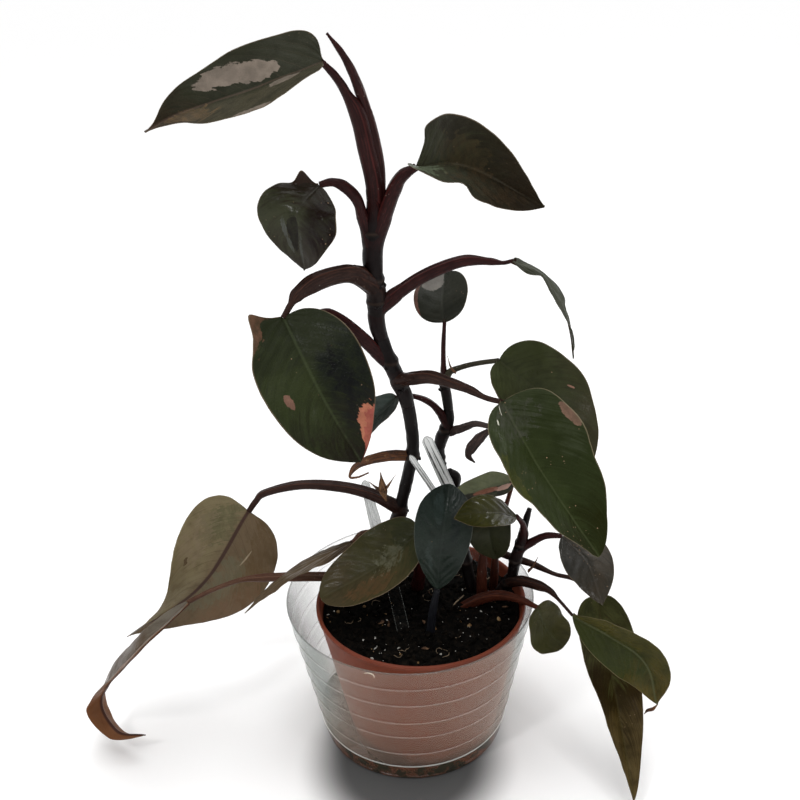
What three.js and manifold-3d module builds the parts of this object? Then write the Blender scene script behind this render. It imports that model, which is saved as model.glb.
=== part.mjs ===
// Pink princess philodendron (a climbing aroid) in a terracotta-coloured nursery pot,
// which stands inside a wider clear plastic pot.
// Millimetres, +Z up. The origin is the middle of the clear pot's underside, on the surface it stands on.
// The plant has three stems. Each leaf is a sheathed petiole and a heart-shaped blade.
import * as THREE from 'three';
import Module from 'manifold-3d';

const wasm = await Module();
wasm.setup();

// ---------------------------------------------------------------- driving dimensions

const GAP = 0.3; // clearance kept between pieces that touch
const SLIVER = 0.12; // edges shorter than this are drawn together after a cut
const FLAT = 0.02; // faces lower than this are turned to their neighbours after a cut
const CLEANING_PASSES = 4;
const SEGMENTS = 32; // sides of the round pots

const CLEAR_POT = {
  rimRadius: 82,
  baseRadius: 62,
  height: 105,
  wall: 1,
  floor: 1.2,
  footBevel: 2,
  ribs: [90, 75, 58, 44, 27], // heights of the moulded hoops
  footRib: 13.4, // height of the step that the foot ends in
  ribRise: 0.5,
  ribHalf: 1.1,
};

const NURSERY_POT = {
  axis: [7, -9], // it stands off centre, against the clear pot's front right
  lipRadius: 68.8,
  bodyTopRadius: 67.8,
  baseRadius: 48.5,
  top: 106,
  lipHeight: 3,
  wall: 1.2,
  floor: 1.2,
  drains: 6,
  drainRadius: 4,
  drainRing: 36, // distance of the drain holes from the axis
};

const SOIL = {
  edgeLevel: 98.5, // height of the mix at the pot wall
  crown: 1.5, // how far its middle stands above that
  rough: 0.7, // height of its unevenness
  rings: 4,
};

const STEM_NODE = { swell: 0.8, spread: 3 }; // ring left on a stem where a leaf grows

const BLADE = {
  half: 0.35, // half of the blade's thickness
  keel: 0.6, // how far the midrib stands out below
  alongCells: 10,
  acrossCells: 4,
  tipHalf: 0.6, // half width at its two ends
};

// Section of a petiole, counted from its keel: a channel between two wings faces up.
const CHANNEL = [-90, -30, 20, 60, 90, 120, 160, 210];
const ROUND = [-90, -30, 30, 90, 150, 210];

// ---------------------------------------------------------------- finishes

const finish = (colour, roughness, extra = {}) =>
  new THREE.MeshStandardMaterial({ color: colour, roughness, metalness: 0, ...extra });

const FINISH = {
  clear: finish('#dfe6e3', 0.12, { transparent: true, opacity: 0.35 }),
  terracotta: finish('#a8624c', 0.55),
  soil: finish('#16110e', 0.95),
  stem: finish('#1d1517', 0.5),
  sheath: finish('#4a1f24', 0.42),
  petiole: finish('#33191b', 0.42),
  dry: finish('#7a4a22', 0.8),
  olive: finish('#4c4a35', 0.4),
  green: finish('#2f3a2b', 0.35),
  blue: finish('#27342f', 0.3),
  bronze: finish('#4a362b', 0.4),
};

// ---------------------------------------------------------------- curves and frames

const vec = ([x, y, z]) => new THREE.Vector3(x, y, z);

// A smooth line through hand-placed points, with its tangents.
class Line {
  constructor(points) {
    this.curve = new THREE.CatmullRomCurve3(points.map(vec), false, 'catmullrom', 0.5);
  }

  at(t) {
    return this.curve.getPoint(t);
  }

  tangent(t) {
    const step = 1e-3;
    const before = this.at(Math.max(t - step, 0));
    return this.at(Math.min(t + step, 1)).sub(before).normalize();
  }
}

// Frames along a line: `up` starts from a given direction and turns no more than the line does.
function framesAlong(line, up, stations) {
  let normal = vec(up);
  return stations.map((t) => {
    const tangent = line.tangent(t);
    normal = normal.clone().addScaledVector(tangent, -normal.dot(tangent)).normalize();
    return { t, origin: line.at(t), tangent, normal, side: tangent.clone().cross(normal) };
  });
}

// Value of a list of numbers, spaced evenly from 0 to 1.
function between(values, t) {
  const place = t * (values.length - 1);
  const low = Math.min(Math.floor(place), values.length - 2);
  return THREE.MathUtils.lerp(values[low], values[low + 1], place - low);
}

// ---------------------------------------------------------------- solids

function solidFrom(points, triangles) {
  const vertProperties = new Float32Array(points.flatMap((p) => [p.x, p.y, p.z]));
  const triVerts = new Uint32Array(triangles.flat());
  return new wasm.Manifold(new wasm.Mesh({ numProp: 3, vertProperties, triVerts }));
}

function meshFrom(solid, name, material) {
  const { vertProperties, triVerts } = solid.getMesh();
  const geometry = new THREE.BufferGeometry();
  geometry.setAttribute('position', new THREE.BufferAttribute(new Float32Array(vertProperties), 3));
  geometry.setIndex(new THREE.BufferAttribute(new Uint32Array(triVerts), 1));
  const mesh = new THREE.Mesh(geometry, material);
  mesh.name = name;
  return mesh;
}

// Closed skin over rings of equal length, capped by a fan at both ends.
function skinRings(rings) {
  const count = rings[0].length;
  const points = rings.flat();
  const triangles = [];
  for (let ring = 0; ring + 1 < rings.length; ring += 1) {
    for (let k = 0; k < count; k += 1) {
      const next = (k + 1) % count;
      const a = ring * count + k;
      const b = ring * count + next;
      triangles.push([a, b, b + count], [a, b + count, a + count]);
    }
  }
  for (const [ring, flip] of [[0, true], [rings.length - 1, false]]) {
    const centre = points.length;
    points.push(rings[ring].reduce((sum, p) => sum.add(p), new THREE.Vector3()).divideScalar(count));
    for (let k = 0; k < count; k += 1) {
      const a = ring * count + k;
      const b = ring * count + ((k + 1) % count);
      triangles.push(flip ? [b, a, centre] : [a, b, centre]);
    }
  }
  return solidFrom(points, triangles);
}

// Solid of revolution about +Z from a closed [radius, height] outline, at a place on the plane.
function turned(outline, [x, y] = [0, 0], segments = SEGMENTS) {
  const profile = [...outline, outline[0]].map(([radius, height]) => new THREE.Vector2(radius, height));
  const lathe = new THREE.LatheGeometry(profile, segments);
  lathe.rotateX(Math.PI / 2);
  lathe.translate(x, y, 0);
  return weld(lathe);
}

// Merges equal corners and drops the triangles that then have no area.
function weld(geometry) {
  const { position } = geometry.attributes;
  const index = Array.from(geometry.index.array);
  const seen = new Map();
  const points = [];
  const places = [];
  for (let i = 0; i < position.count; i += 1) {
    const point = new THREE.Vector3().fromBufferAttribute(position, i);
    const key = point.toArray().map((value) => Math.round(value * 1e4)).join();
    if (!seen.has(key)) {
      seen.set(key, points.length);
      points.push(point);
    }
    places.push(seen.get(key));
  }
  const triangles = [];
  for (let i = 0; i < index.length; i += 3) {
    const corners = index.slice(i, i + 3).map((k) => places[k]);
    if (new Set(corners).size === 3) triangles.push(corners);
  }
  return solidFrom(points, triangles);
}

// The largest body of a solid: cutting can leave small scraps, which are dropped.
function largestBody(solid) {
  const bodies = solid.decompose();
  return bodies.reduce((best, body) => (body.volume() > best.volume() ? body : best));
}

// Each edge of a face, with the corner that faces it.
const edgesOf = ([a, b, c]) => [[a, b, c], [b, c, a], [c, a, b]];

// Corners joined to one corner by an edge.
function around(faces, corner) {
  return new Set(faces.filter((face) => face.includes(corner)).flat().filter((i) => i !== corner));
}

// Draws together the ends of every edge shorter than SLIVER, where that leaves the skin whole.
function withoutShortEdges(points, faces) {
  let left = faces;
  for (const [a, b] of faces.flatMap(edgesOf)) {
    if (a > b || points[a].distanceTo(points[b]) > SLIVER) continue;
    const beside = around(left, b);
    const shared = [...around(left, a)].filter((i) => beside.has(i));
    if (!beside.has(a) || shared.length !== 2) continue;
    left = left.map((face) => face.map((i) => (i === b ? a : i))).filter((face) => new Set(face).size === 3);
  }
  return left;
}

// Turns the longest edge of every face lower than FLAT to the far corner of the face beside it.
function withoutFlatFaces(points, faces) {
  const left = [...faces];
  for (let k = 0; k < left.length; k += 1) {
    const length = ([a, b]) => points[a].distanceTo(points[b]);
    const [a, b, c] = edgesOf(left[k]).reduce((best, edge) => (length(edge) > length(best) ? edge : best));
    const area = new THREE.Triangle(points[a], points[b], points[c]).getArea();
    if ((2 * area) / length([a, b]) > FLAT) continue;
    const other = left.findIndex((face) => edgesOf(face).some(([p, q]) => p === b && q === a));
    const far = edgesOf(left[other]).find(([p, q]) => p === b && q === a)[2];
    if (around(left, far).has(c)) continue;
    left[k] = [a, far, c];
    left[other] = [far, b, c];
  }
  return left;
}

// Clears away the slivers that cuts leave on a solid.
function withoutSlivers(solid) {
  const { vertProperties, triVerts } = solid.getMesh();
  const points = Array.from({ length: vertProperties.length / 3 }, (_, i) => (
    new THREE.Vector3().fromArray(vertProperties, 3 * i)));
  let faces = Array.from({ length: triVerts.length / 3 }, (_, i) => [...triVerts.slice(3 * i, 3 * i + 3)]);
  for (let pass = 0; pass < CLEANING_PASSES; pass += 1) {
    faces = withoutFlatFaces(points, withoutShortEdges(points, faces));
  }
  const used = [...new Set(faces.flat())];
  const place = new Map(used.map((i, k) => [i, k]));
  return solidFrom(used.map((i) => points[i]), faces.map((face) => face.map((i) => place.get(i))));
}

// ---------------------------------------------------------------- limbs: stems, petioles, strips

// A limb follows `path`. `sizes` are its half heights, evenly spaced along it, and `flat` is
// its half width over its half height. `groove` is the depth of its channel at the foot,
// which fades out towards the far end. `grow` swells the limb all round, to cut its neighbours.
function limb({ path, sizes, up = [0, 0, 1], flat = 1, groove = 0, step = 8, nodes = [] }, grow = 0) {
  const line = new Line(path);
  const length = line.curve.getLength();
  const count = Math.max(3, Math.round(length / step));
  const stations = Array.from({ length: count + 1 }, (_, i) => i / count);
  const angles = groove > 0 ? CHANNEL : ROUND;
  const frames = framesAlong(line, up, stations);
  const rings = frames.map(({ t, origin, tangent, normal, side }, i) => {
    const swell = nodes.reduce((sum, height) => {
      const off = (origin.z - height) / STEM_NODE.spread;
      return sum + STEM_NODE.swell * Math.exp(-off * off);
    }, 0);
    const high = between(sizes, t) + swell;
    const wide = high * flat;
    const reach = i === 0 ? -grow : i === count ? grow : 0;
    const centre = origin.clone().addScaledVector(tangent, reach);
    return angles.map((degrees) => {
      const angle = THREE.MathUtils.degToRad(degrees);
      const dip = groove > 0 && degrees === 90 ? groove * (1 - t) : 0;
      const rise = Math.sin(angle) * (high * (1 - dip) + grow);
      const across = Math.cos(angle) * (wide + grow);
      return centre.clone().addScaledVector(normal, rise).addScaledVector(side, -across);
    });
  });
  return skinRings(rings);
}

// ---------------------------------------------------------------- blades

// Half width of a blade at u (0 at the petiole, 1 at the tip), as a share of its widest.
function outlineShare(u, shoulder, point) {
  const widest = shoulder / (shoulder + point);
  const peak = widest ** shoulder * (1 - widest) ** point;
  return (u ** shoulder * (1 - u) ** point) / peak;
}

// A point of a blade's middle surface. v runs from -1 at one margin to 1 at the other.
function bladePoint(leaf, frame, v) {
  const { width, shoulder, point, fold, cup, lobe, skew = 0, wave = [0, 3, 0], ears = [] } = leaf;
  const sign = v < 0 ? -1 : 1;
  const reach = Math.abs(v);
  const share = outlineShare(frame.t, shoulder, point);
  const half = Math.max((width / 2) * share * (1 + sign * skew), BLADE.tipHalf);
  const bend = (THREE.MathUtils.degToRad(cup) * reach) / 2;
  const chord = half * reach * (Math.abs(bend) > 1e-6 ? Math.sin(bend) / bend : 1);
  const lean = THREE.MathUtils.degToRad(fold) + bend;
  const [height, count, phase] = wave;
  const turn = count * frame.t + phase + (sign > 0 ? 0.3 : 0);
  const ripple = height * reach * reach * Math.sin(2 * Math.PI * turn) * Math.min(1, share * 1.5);
  const back = share * (1 - frame.t) ** 3 * lobe * reach ** 1.5;
  const place = frame.origin.clone()
    .addScaledVector(frame.side, chord * Math.cos(lean) * sign)
    .addScaledVector(frame.normal, chord * Math.sin(lean) + ripple)
    .addScaledVector(frame.tangent, -back);
  for (const ear of ears.filter((one) => one.side === sign)) {
    const pull = Math.exp(-(((frame.t - ear.at) / ear.spread) ** 2)) * reach ** 3;
    place.addScaledVector(frame.side, ear.out * sign * pull).addScaledVector(frame.normal, ear.up * pull);
  }
  return place;
}

// Frames along a blade's midrib, turned about it by `twist` degrees from base to tip.
function bladeFrames(leaf, stations) {
  return framesAlong(new Line(leaf.midrib), leaf.face, stations).map((frame) => {
    const angle = THREE.MathUtils.degToRad(leaf.twist) * frame.t;
    const normal = frame.normal.clone().multiplyScalar(Math.cos(angle))
      .addScaledVector(frame.side, Math.sin(angle));
    return { ...frame, normal, side: frame.tangent.clone().cross(normal) };
  });
}

function blade(leaf) {
  const { alongCells: rows, acrossCells: columns } = BLADE;
  const stations = Array.from({ length: rows + 1 }, (_, i) => (1 - Math.cos((Math.PI * i) / rows)) / 2);
  const across = Array.from({ length: columns + 1 }, (_, j) => (2 * j) / columns - 1);
  const grid = bladeFrames(leaf, stations).map((frame) => across.map((v) => bladePoint(leaf, frame, v)));
  const normalAt = (i, j) => {
    const along = grid[Math.min(i + 1, rows)][j].clone().sub(grid[Math.max(i - 1, 0)][j]);
    const over = grid[i][Math.min(j + 1, columns)].clone().sub(grid[i][Math.max(j - 1, 0)]);
    return along.cross(over).normalize().negate();
  };
  const skin = (offsetOf) => grid.map((row, i) => row.map((p, j) => (
    p.clone().addScaledVector(normalAt(i, j), offsetOf(j)))));
  const top = skin(() => BLADE.half).flat();
  const bottom = skin((j) => (across[j] === 0 ? -BLADE.half - BLADE.keel : -BLADE.half)).flat();
  const stride = columns + 1;
  const under = top.length;
  const triangles = [];
  for (let i = 0; i < rows; i += 1) {
    for (let j = 0; j < columns; j += 1) {
      const a = i * stride + j;
      const b = a + 1;
      const c = a + stride;
      const d = c + 1;
      triangles.push([a, b, d], [a, d, c]);
      triangles.push([under + a, under + d, under + b], [under + a, under + c, under + d]);
    }
  }
  const rim = [];
  for (let j = 0; j < columns; j += 1) rim.push(j);
  for (let i = 0; i < rows; i += 1) rim.push(i * stride + columns);
  for (let j = columns; j > 0; j -= 1) rim.push(rows * stride + j);
  for (let i = rows; i > 0; i -= 1) rim.push(i * stride);
  rim.forEach((a, k) => {
    const b = rim[(k + 1) % rim.length];
    triangles.push([a, under + a, under + b], [a, under + b, b]);
  });
  return solidFrom([...top, ...bottom], triangles);
}

// ---------------------------------------------------------------- the pots and the potting mix

function clearPotRadius(height) {
  const { rimRadius, baseRadius, height: full } = CLEAR_POT;
  return THREE.MathUtils.lerp(baseRadius, rimRadius, height / full);
}

function clearPot() {
  const { wall, floor, height, footBevel, ribs, footRib, ribRise, ribHalf, baseRadius } = CLEAR_POT;
  const outline = [[0, 0], [baseRadius - footBevel, 0], [clearPotRadius(footBevel), footBevel]];
  for (const rib of [footRib, ...[...ribs].reverse()]) {
    outline.push([clearPotRadius(rib - ribHalf), rib - ribHalf]);
    outline.push([clearPotRadius(rib) + ribRise, rib]);
    outline.push([clearPotRadius(rib + ribHalf), rib + ribHalf]);
  }
  outline.push([clearPotRadius(height), height], [clearPotRadius(height) - wall, height]);
  outline.push([clearPotRadius(floor) - wall, floor], [0, floor]);
  return turned(outline);
}

function nurseryPot() {
  const { axis, lipRadius, bodyTopRadius, baseRadius, top, lipHeight, wall, floor } = NURSERY_POT;
  const { drains, drainRadius, drainRing } = NURSERY_POT;
  const foot = CLEAR_POT.floor + GAP;
  const outline = [
    [0, foot], [baseRadius, foot], [bodyTopRadius, top - lipHeight], [lipRadius, top - lipHeight + 0.6],
    [lipRadius, top - 0.6], [lipRadius - 0.6, top], [bodyTopRadius - wall, top],
    [baseRadius - wall, foot + floor], [0, foot + floor],
  ];
  let pot = turned(outline, axis);
  for (let k = 0; k < drains; k += 1) {
    const angle = (2 * Math.PI * k) / drains;
    const place = [axis[0] + drainRing * Math.cos(angle), axis[1] + drainRing * Math.sin(angle)];
    const hole = [[0, 0], [drainRadius, 0], [drainRadius, foot + floor + 1], [0, foot + floor + 1]];
    pot = pot.subtract(turned(hole, place, 8));
  }
  return pot;
}

// Radius of the room inside the nursery pot at a height.
function nurseryRoom(height) {
  const { bodyTopRadius, baseRadius, top, wall, floor } = NURSERY_POT;
  const bottom = CLEAR_POT.floor + GAP + floor;
  return THREE.MathUtils.mapLinear(height, bottom, top, baseRadius - wall, bodyTopRadius - wall);
}

// Height of the mix at a place given from the pot's axis.
function soilLevel(x, y) {
  const { edgeLevel, crown, rough } = SOIL;
  const reach = Math.hypot(x, y) / nurseryRoom(edgeLevel);
  const bumps = Math.sin(x * 0.21 + 1) * Math.cos(y * 0.17) + 0.6 * Math.sin(x * 0.08 - y * 0.3);
  return edgeLevel + crown * (1 - reach * reach) + rough * bumps;
}

function soilRaw() {
  const [ax, ay] = NURSERY_POT.axis;
  const bottom = CLEAR_POT.floor + GAP + NURSERY_POT.floor + GAP;
  const ring = (radius, heightOf) => Array.from({ length: SEGMENTS }, (_, k) => {
    const angle = (2 * Math.PI * k) / SEGMENTS;
    const x = radius * Math.cos(angle);
    const y = radius * Math.sin(angle);
    return new THREE.Vector3(ax + x, ay + y, heightOf(x, y));
  });
  // The sides of the two pots' polygons face each other, so the mix keeps clear by GAP all round.
  const edge = nurseryRoom(SOIL.edgeLevel - SOIL.rough * 2) - GAP * 1.5;
  const rings = [ring(nurseryRoom(bottom) - GAP * 1.5, () => bottom)];
  for (let k = SOIL.rings; k > 0; k -= 1) rings.push(ring((edge * k) / SOIL.rings, soilLevel));
  return skinRings(rings);
}

// ---------------------------------------------------------------- stems, stakes and dry pieces

const STEMS = {
  main_stem: {
    path: [
      [-14, 21, 82], [-14, 20, 105], [-12, 18, 126], [-8, 16, 147], [-3, 14, 167], [1, 12, 185],
      [5, 9, 208], [4, 7, 229], [1, 5, 247], [-5, 4, 264], [-10, 5, 279], [-14, 5, 294],
      [-14, 6, 312], [-15, 7, 331], [-14, 8, 348], [-12, 8, 362],
    ],
    sizes: [4.2, 4.2, 4.1, 4.1, 4, 4, 4, 4.1, 4.2, 4.3, 4.2, 4.4, 5, 5.4, 5.4, 4.4],
    up: [0, -1, 0],
    nodes: [105, 128, 162, 203, 256, 270, 308, 321, 349],
    step: 7,
  },
  second_stem: {
    path: [
      [44, 4, 82], [42, 7, 98], [38, 12, 120], [35, 18, 140], [30, 24, 162], [25, 27, 177],
      [22, 29, 191], [24, 30, 203], [29, 30, 216], [28, 29, 231], [26, 28, 247],
    ],
    sizes: [4, 4, 4, 3.9, 3.8, 3.7, 3.7, 3.8, 3.4, 2.8, 2.7],
    up: [0, -1, 0],
    nodes: [120, 166, 190, 210, 243],
    step: 7,
    stub: { path: [[31, 25, 166], [33, 22, 178], [28, 20, 184]], sizes: [3, 3.2, 2.6] },
  },
  third_stem: {
    path: [
      [55, -3, 82], [58, -3, 98], [63, -3, 108], [68, -3, 118], [70, -4, 133], [73, -5, 144], [74, -7, 155],
    ],
    sizes: [3.6, 3.6, 3.6, 3.4, 3.4, 3.2, 2.8],
    up: [0, -1, 0],
    nodes: [112, 130, 143],
    step: 7,
    stub: { path: [[74, -6, 152], [76, -4, 161], [78, -3, 168]], sizes: [2.2, 2.2, 1.6] },
  },
};

const SPIKE = {
  path: [
    [-9, 9, 361], [-9, 10, 386], [-13, 7, 409], [-17, 4, 425], [-21, 2, 437], [-26, 0, 447], [-33, -2, 457],
  ],
  sizes: [2.6, 2.9, 3.1, 3, 2.5, 1.8, 0.7],
  up: [0, -1, 0],
};

const STAKE_HALF = 0.5; // half the thickness of the flat stakes
const STAKES = {
  clear_stake_left: {
    path: [[3, -6, 211], [17, -1, 183], [40, 8, 136], [58, 13, 90]],
    sizes: [1.9, 2, 2, 2],
  },
  clear_stake_right: {
    path: [[13, -1, 221], [25, 4, 187], [42, 13, 140], [56, 22, 90]],
    sizes: [3.6, 4, 4, 4],
  },
  clear_stake_back: {
    path: [[-28, 38, 169], [-20, 13, 145], [-11, -14, 120], [-3, -42, 93]],
    sizes: [3, 4, 4, 4],
  },
};

// Dried pieces, each in order after the one that carries it.
const DRY = {
  dry_petiole: {
    carrier: 'main_stem',
    path: [
      [1, 9, 203], [-10, 4, 206], [-22, 0, 206], [-31, -3, 203],
      [-35, -5, 197], [-30, -6, 197], [-23, -6, 200],
    ],
    sizes: [3.2, 3.4, 3, 2, 0.8, 0.7, 0.5],
    flat: 0.7,
    step: 5,
  },
  withered_leaf_petiole: {
    carrier: 'second_stem',
    path: [[30, 30, 208], [37, 24, 213], [45, 18, 219], [53, 12, 220]],
    sizes: [3.1, 2.6, 2, 1.6],
  },
  withered_leaf: {
    carrier: 'withered_leaf_petiole',
    path: [[53, 12, 217], [47, 10, 213], [42, 9, 207], [40, 9, 201], [44, 9, 196]],
    sizes: [1.6, 2.4, 2.4, 1.6, 0.6],
    up: [1, 0, 0],
    flat: 0.5,
    step: 5,
  },
};

// ---------------------------------------------------------------- the leaves

// Each leaf: its midrib from the petiole to the tip, the way its upper side faces, its width,
// how its outline runs (shoulder, point), how far its halves fold and cup (degrees), how far
// its lobes reach back, and how its margin waves (height, waves, phase).
// `carriers` are the pieces that its petiole grows from or passes.
const LEAVES = [
  {
    name: 'leaf_01', finish: 'green', stalk: 'petiole', carriers: ['main_stem', 'new_leaf_spike'],
    midrib: [[-36, -5, 443], [-80, -5, 429], [-112, -13, 421], [-123, -42, 418]],
    face: [-0.29, -0.41, 0.86], twist: -42, width: 57, shoulder: 0.36, point: 1.66,
    fold: 19, cup: 6, lobe: 5, wave: [0.8, 3, 0],
    petiole: {
      path: [
        [-13, 8, 361], [-14, 8, 378], [-17, 6, 395], [-20, 3, 412],
        [-25, 0, 427], [-30, -3, 436], [-36, -5, 443],
      ],
      sizes: [3.2, 3.4, 3.4, 3.2, 2.6, 2.2, 1.6], up: [1, 0, 0], groove: 0.4,
    },
  },
  {
    name: 'leaf_02', finish: 'green', stalk: 'petiole',
    carriers: ['main_stem', 'new_leaf_spike', 'leaf_01_petiole'],
    midrib: [[11, 2, 386], [38, -20, 390], [79, -19, 367]],
    face: [-0.33, -0.21, 0.92], twist: 71, width: 54, shoulder: 0.59, point: 0.95,
    fold: 36, cup: 22, lobe: -8, wave: [1, 2, 0.2],
    petiole: {
      path: [[-12, 8, 345], [-7, 7, 361], [-2, 6, 373], [3, 4, 381], [11, 2, 386]],
      sizes: [3.6, 4.2, 4.3, 3.6, 2.2], up: [-1, 0, 1], groove: 0.3,
    },
  },
  {
    name: 'leaf_03', finish: 'blue', stalk: 'sheath', carriers: ['main_stem', 'leaf_01_petiole'],
    midrib: [[-42, -2, 379], [-54, -18, 367], [-53, -11, 334]],
    face: [-0.09, -0.52, 0.85], twist: -2, width: 50, shoulder: 1.08, point: 0.9,
    fold: 5, cup: -6, lobe: 7, wave: [1.5, 2, 0.4],
    ears: [{ side: 1, at: 0.1, spread: 0.07, out: 0, up: 9 }],
    petiole: {
      path: [[-15, 8, 342], [-20, 6, 360], [-23, 3, 370], [-29, 1, 377], [-35, -1, 380], [-42, -2, 379]],
      sizes: [3.2, 3.4, 3.6, 3.4, 2.4, 1.9], up: [-1, 0, 0.5], groove: 0.5,
    },
  },
  {
    name: 'leaf_04', finish: 'green', stalk: 'sheath', carriers: ['main_stem'],
    midrib: [[66, 8, 329], [84, 5, 320], [96, -6, 300], [102, -1, 270]],
    face: [0.51, 0.09, 0.86], twist: -7, width: 50, shoulder: 0.62, point: 0.98,
    fold: -2, cup: 3, lobe: 4, wave: [1.2, 2.5, 0.1],
    petiole: {
      path: [
        [-13, 6, 302], [2, 7, 315], [18, 8, 324], [37, 9, 330], [52, 9, 329], [60, 8, 328], [66, 8, 329],
      ],
      sizes: [4.2, 4.6, 4.5, 4.1, 2.6, 1.4, 1.3], flat: 0.75, groove: 0.55,
    },
  },
  {
    name: 'leaf_05', finish: 'green', stalk: 'sheath', carriers: ['main_stem'],
    midrib: [[-64, -35, 315], [-43, -60, 277], [-25, -59, 237]],
    face: [0.14, -0.79, 0.59], twist: -1, width: 62, shoulder: 0.5, point: 0.88,
    fold: 15, cup: 3, lobe: 6, wave: [0.8, 3, 0.5],
    ears: [{ side: 1, at: 0.07, spread: 0.05, out: 9, up: 3 }],
    petiole: {
      path: [
        [-14, 6, 316], [-24, -2, 328], [-34, -10, 331], [-47, -20, 330],
        [-56, -28, 326], [-60, -32, 321], [-64, -35, 315],
      ],
      sizes: [6, 6.6, 6.2, 6.4, 4.8, 2.2, 1.9], flat: 0.6, groove: 0.5,
    },
  },
  {
    name: 'leaf_06', finish: 'green', stalk: 'sheath', carriers: ['main_stem'],
    midrib: [[-51, 2, 303], [-50, -2, 268], [-50, 0, 238]],
    face: [0.1, -0.98, 0.1], twist: 3, width: 40, shoulder: 0.5, point: 0.85,
    fold: 14, cup: 5, lobe: 5, wave: [0.8, 2, 0.3],
    petiole: {
      path: [[-8, 5, 268], [-18, 3, 282], [-30, 1, 295], [-41, 2, 303], [-51, 2, 303]],
      sizes: [4, 5, 4.8, 3.6, 1.8], flat: 0.6, groove: 0.5,
    },
  },
  {
    name: 'leaf_07', finish: 'green', stalk: 'sheath', carriers: ['main_stem'],
    midrib: [[55, -40, 262], [79, -59, 221], [105, -86, 187]],
    face: [0.52, -0.62, 0.59], twist: -9, width: 74, shoulder: 0.35, point: 0.66,
    fold: 18, cup: 5, lobe: 1, wave: [1, 3, 0.2],
    petiole: {
      path: [
        [-4, 4, 258], [6, -2, 262], [16, -8, 265], [27, -17, 265],
        [38, -26, 264], [46, -33, 262], [55, -40, 262],
      ],
      sizes: [4.2, 5, 4.8, 3.8, 3, 1.9, 1.7], flat: 0.65, groove: 0.5,
    },
  },
  {
    name: 'leaf_08', finish: 'olive', stalk: 'petiole',
    carriers: ['second_stem', 'leaf_09_petiole', 'leaf_07_petiole'],
    midrib: [[59, 14, 264], [89, 2, 239], [113, -11, 199]],
    face: [0.31, -0.68, 0.66], twist: 2, width: 57, shoulder: 0.51, point: 0.74,
    fold: 15, cup: 2, lobe: 8, wave: [0.8, 3, 0.7],
    petiole: {
      path: [[26, 28, 243], [29, 27, 251], [37, 24, 256], [47, 20, 260], [59, 14, 264]],
      sizes: [2.4, 2.2, 1.7, 1.6, 1.5],
    },
  },
  {
    name: 'leaf_09', finish: 'blue', stalk: 'petiole', carriers: ['second_stem'],
    midrib: [[27, 30, 284], [26, 37, 295], [29, 52, 309]],
    face: [-0.31, -0.82, 0.49], twist: -8, width: 36, shoulder: 0.67, point: 0.44,
    fold: 11, cup: -1, lobe: 4, wave: [0.4, 2, 0],
    petiole: { path: [[26, 28, 244], [26, 29, 266], [27, 30, 284]], sizes: [2, 1.5, 1.2], up: [0, -1, 0] },
  },
  {
    name: 'leaf_10', finish: 'blue', stalk: 'petiole', carriers: ['second_stem'],
    midrib: [[-4, 22, 238], [-20, 13, 226], [-39, 5, 209]],
    face: [-0.49, -0.24, 0.84], twist: -10, width: 27, shoulder: 0.57, point: 0.71,
    fold: 14, cup: 2, lobe: 5, wave: [0.5, 2, 0.2],
    petiole: {
      path: [[28, 30, 212], [24, 29, 222], [17, 27, 231], [7, 24, 237], [-4, 22, 238]],
      sizes: [2.6, 3, 2.4, 1.8, 1.4], groove: 0.3,
    },
  },
  {
    name: 'leaf_11', finish: 'olive', stalk: 'petiole', carriers: ['main_stem'],
    midrib: [[-106, 28, 154], [-145, 25, 97], [-199, 17, 62]],
    face: [0.26, 0.94, -0.23], twist: -74, width: 75, shoulder: 0.36, point: 1.03,
    fold: -13, cup: -20, lobe: 13, wave: [1, 2, 0.6],
    petiole: {
      path: [
        [-4, 14, 160], [-21, 17, 170], [-43, 21, 175], [-70, 25, 175],
        [-94, 28, 168], [-101, 29, 161], [-106, 28, 154],
      ],
      sizes: [4.6, 4.4, 4, 3.4, 2.8, 2.3, 2], flat: 0.9, groove: 0.3,
    },
  },
  {
    name: 'leaf_12', finish: 'bronze', stalk: 'sheath', carriers: ['main_stem'],
    midrib: [[-144, -16, 114], [-173, -44, 98], [-213, -14, 36], [-202, -28, 18], [-181, -34, 19]],
    face: [-0.39, -0.03, 0.92], twist: 39, width: 27, shoulder: 0.66, point: 0.99,
    fold: 22, cup: -10, lobe: 3, wave: [0.6, 2, 0],
    petiole: {
      path: [
        [-14, 20, 103], [-40, 14, 109], [-53, 10, 112], [-73, 4, 117],
        [-95, 0, 120], [-111, -5, 122], [-129, -11, 119], [-144, -16, 114],
      ],
      sizes: [3.8, 3.8, 3.6, 3.6, 3.2, 1.8, 1.6, 1.6], flat: 0.8, groove: 0.5,
    },
  },
  {
    name: 'leaf_13', finish: 'olive', stalk: 'petiole', carriers: ['main_stem'],
    midrib: [[-36, 2, 144], [-80, -12, 127], [-106, -28, 113]],
    face: [-0.45, 0.13, 0.88], twist: 12, width: 25, shoulder: 0.52, point: 0.97,
    fold: 4, cup: -7, lobe: 4, wave: [0.5, 2, 0.4],
    petiole: {
      path: [[-12, 18, 128], [-20, 19, 138], [-30, 12, 144], [-36, 2, 144]],
      sizes: [2.6, 2.2, 1.8, 1.4],
    },
  },
  {
    name: 'leaf_14', finish: 'olive', stalk: 'sheath', carriers: [],
    midrib: [[8, -15, 161], [-21, -21, 139], [-57, -26, 121]],
    face: [-0.43, -0.5, 0.75], twist: -3, width: 46, shoulder: 0.4, point: 0.55,
    fold: 15, cup: 2, lobe: 5, wave: [0.8, 2, 0.1],
    petiole: {
      path: [[4, 12, 86], [5, 10, 100], [7, 1, 119], [8, -8, 142], [8.4, -14.4, 159.8]],
      sizes: [4.4, 4.6, 4, 2.6, 1.6], up: [0, 1, 0], groove: 0.4,
    },
  },
  {
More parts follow.
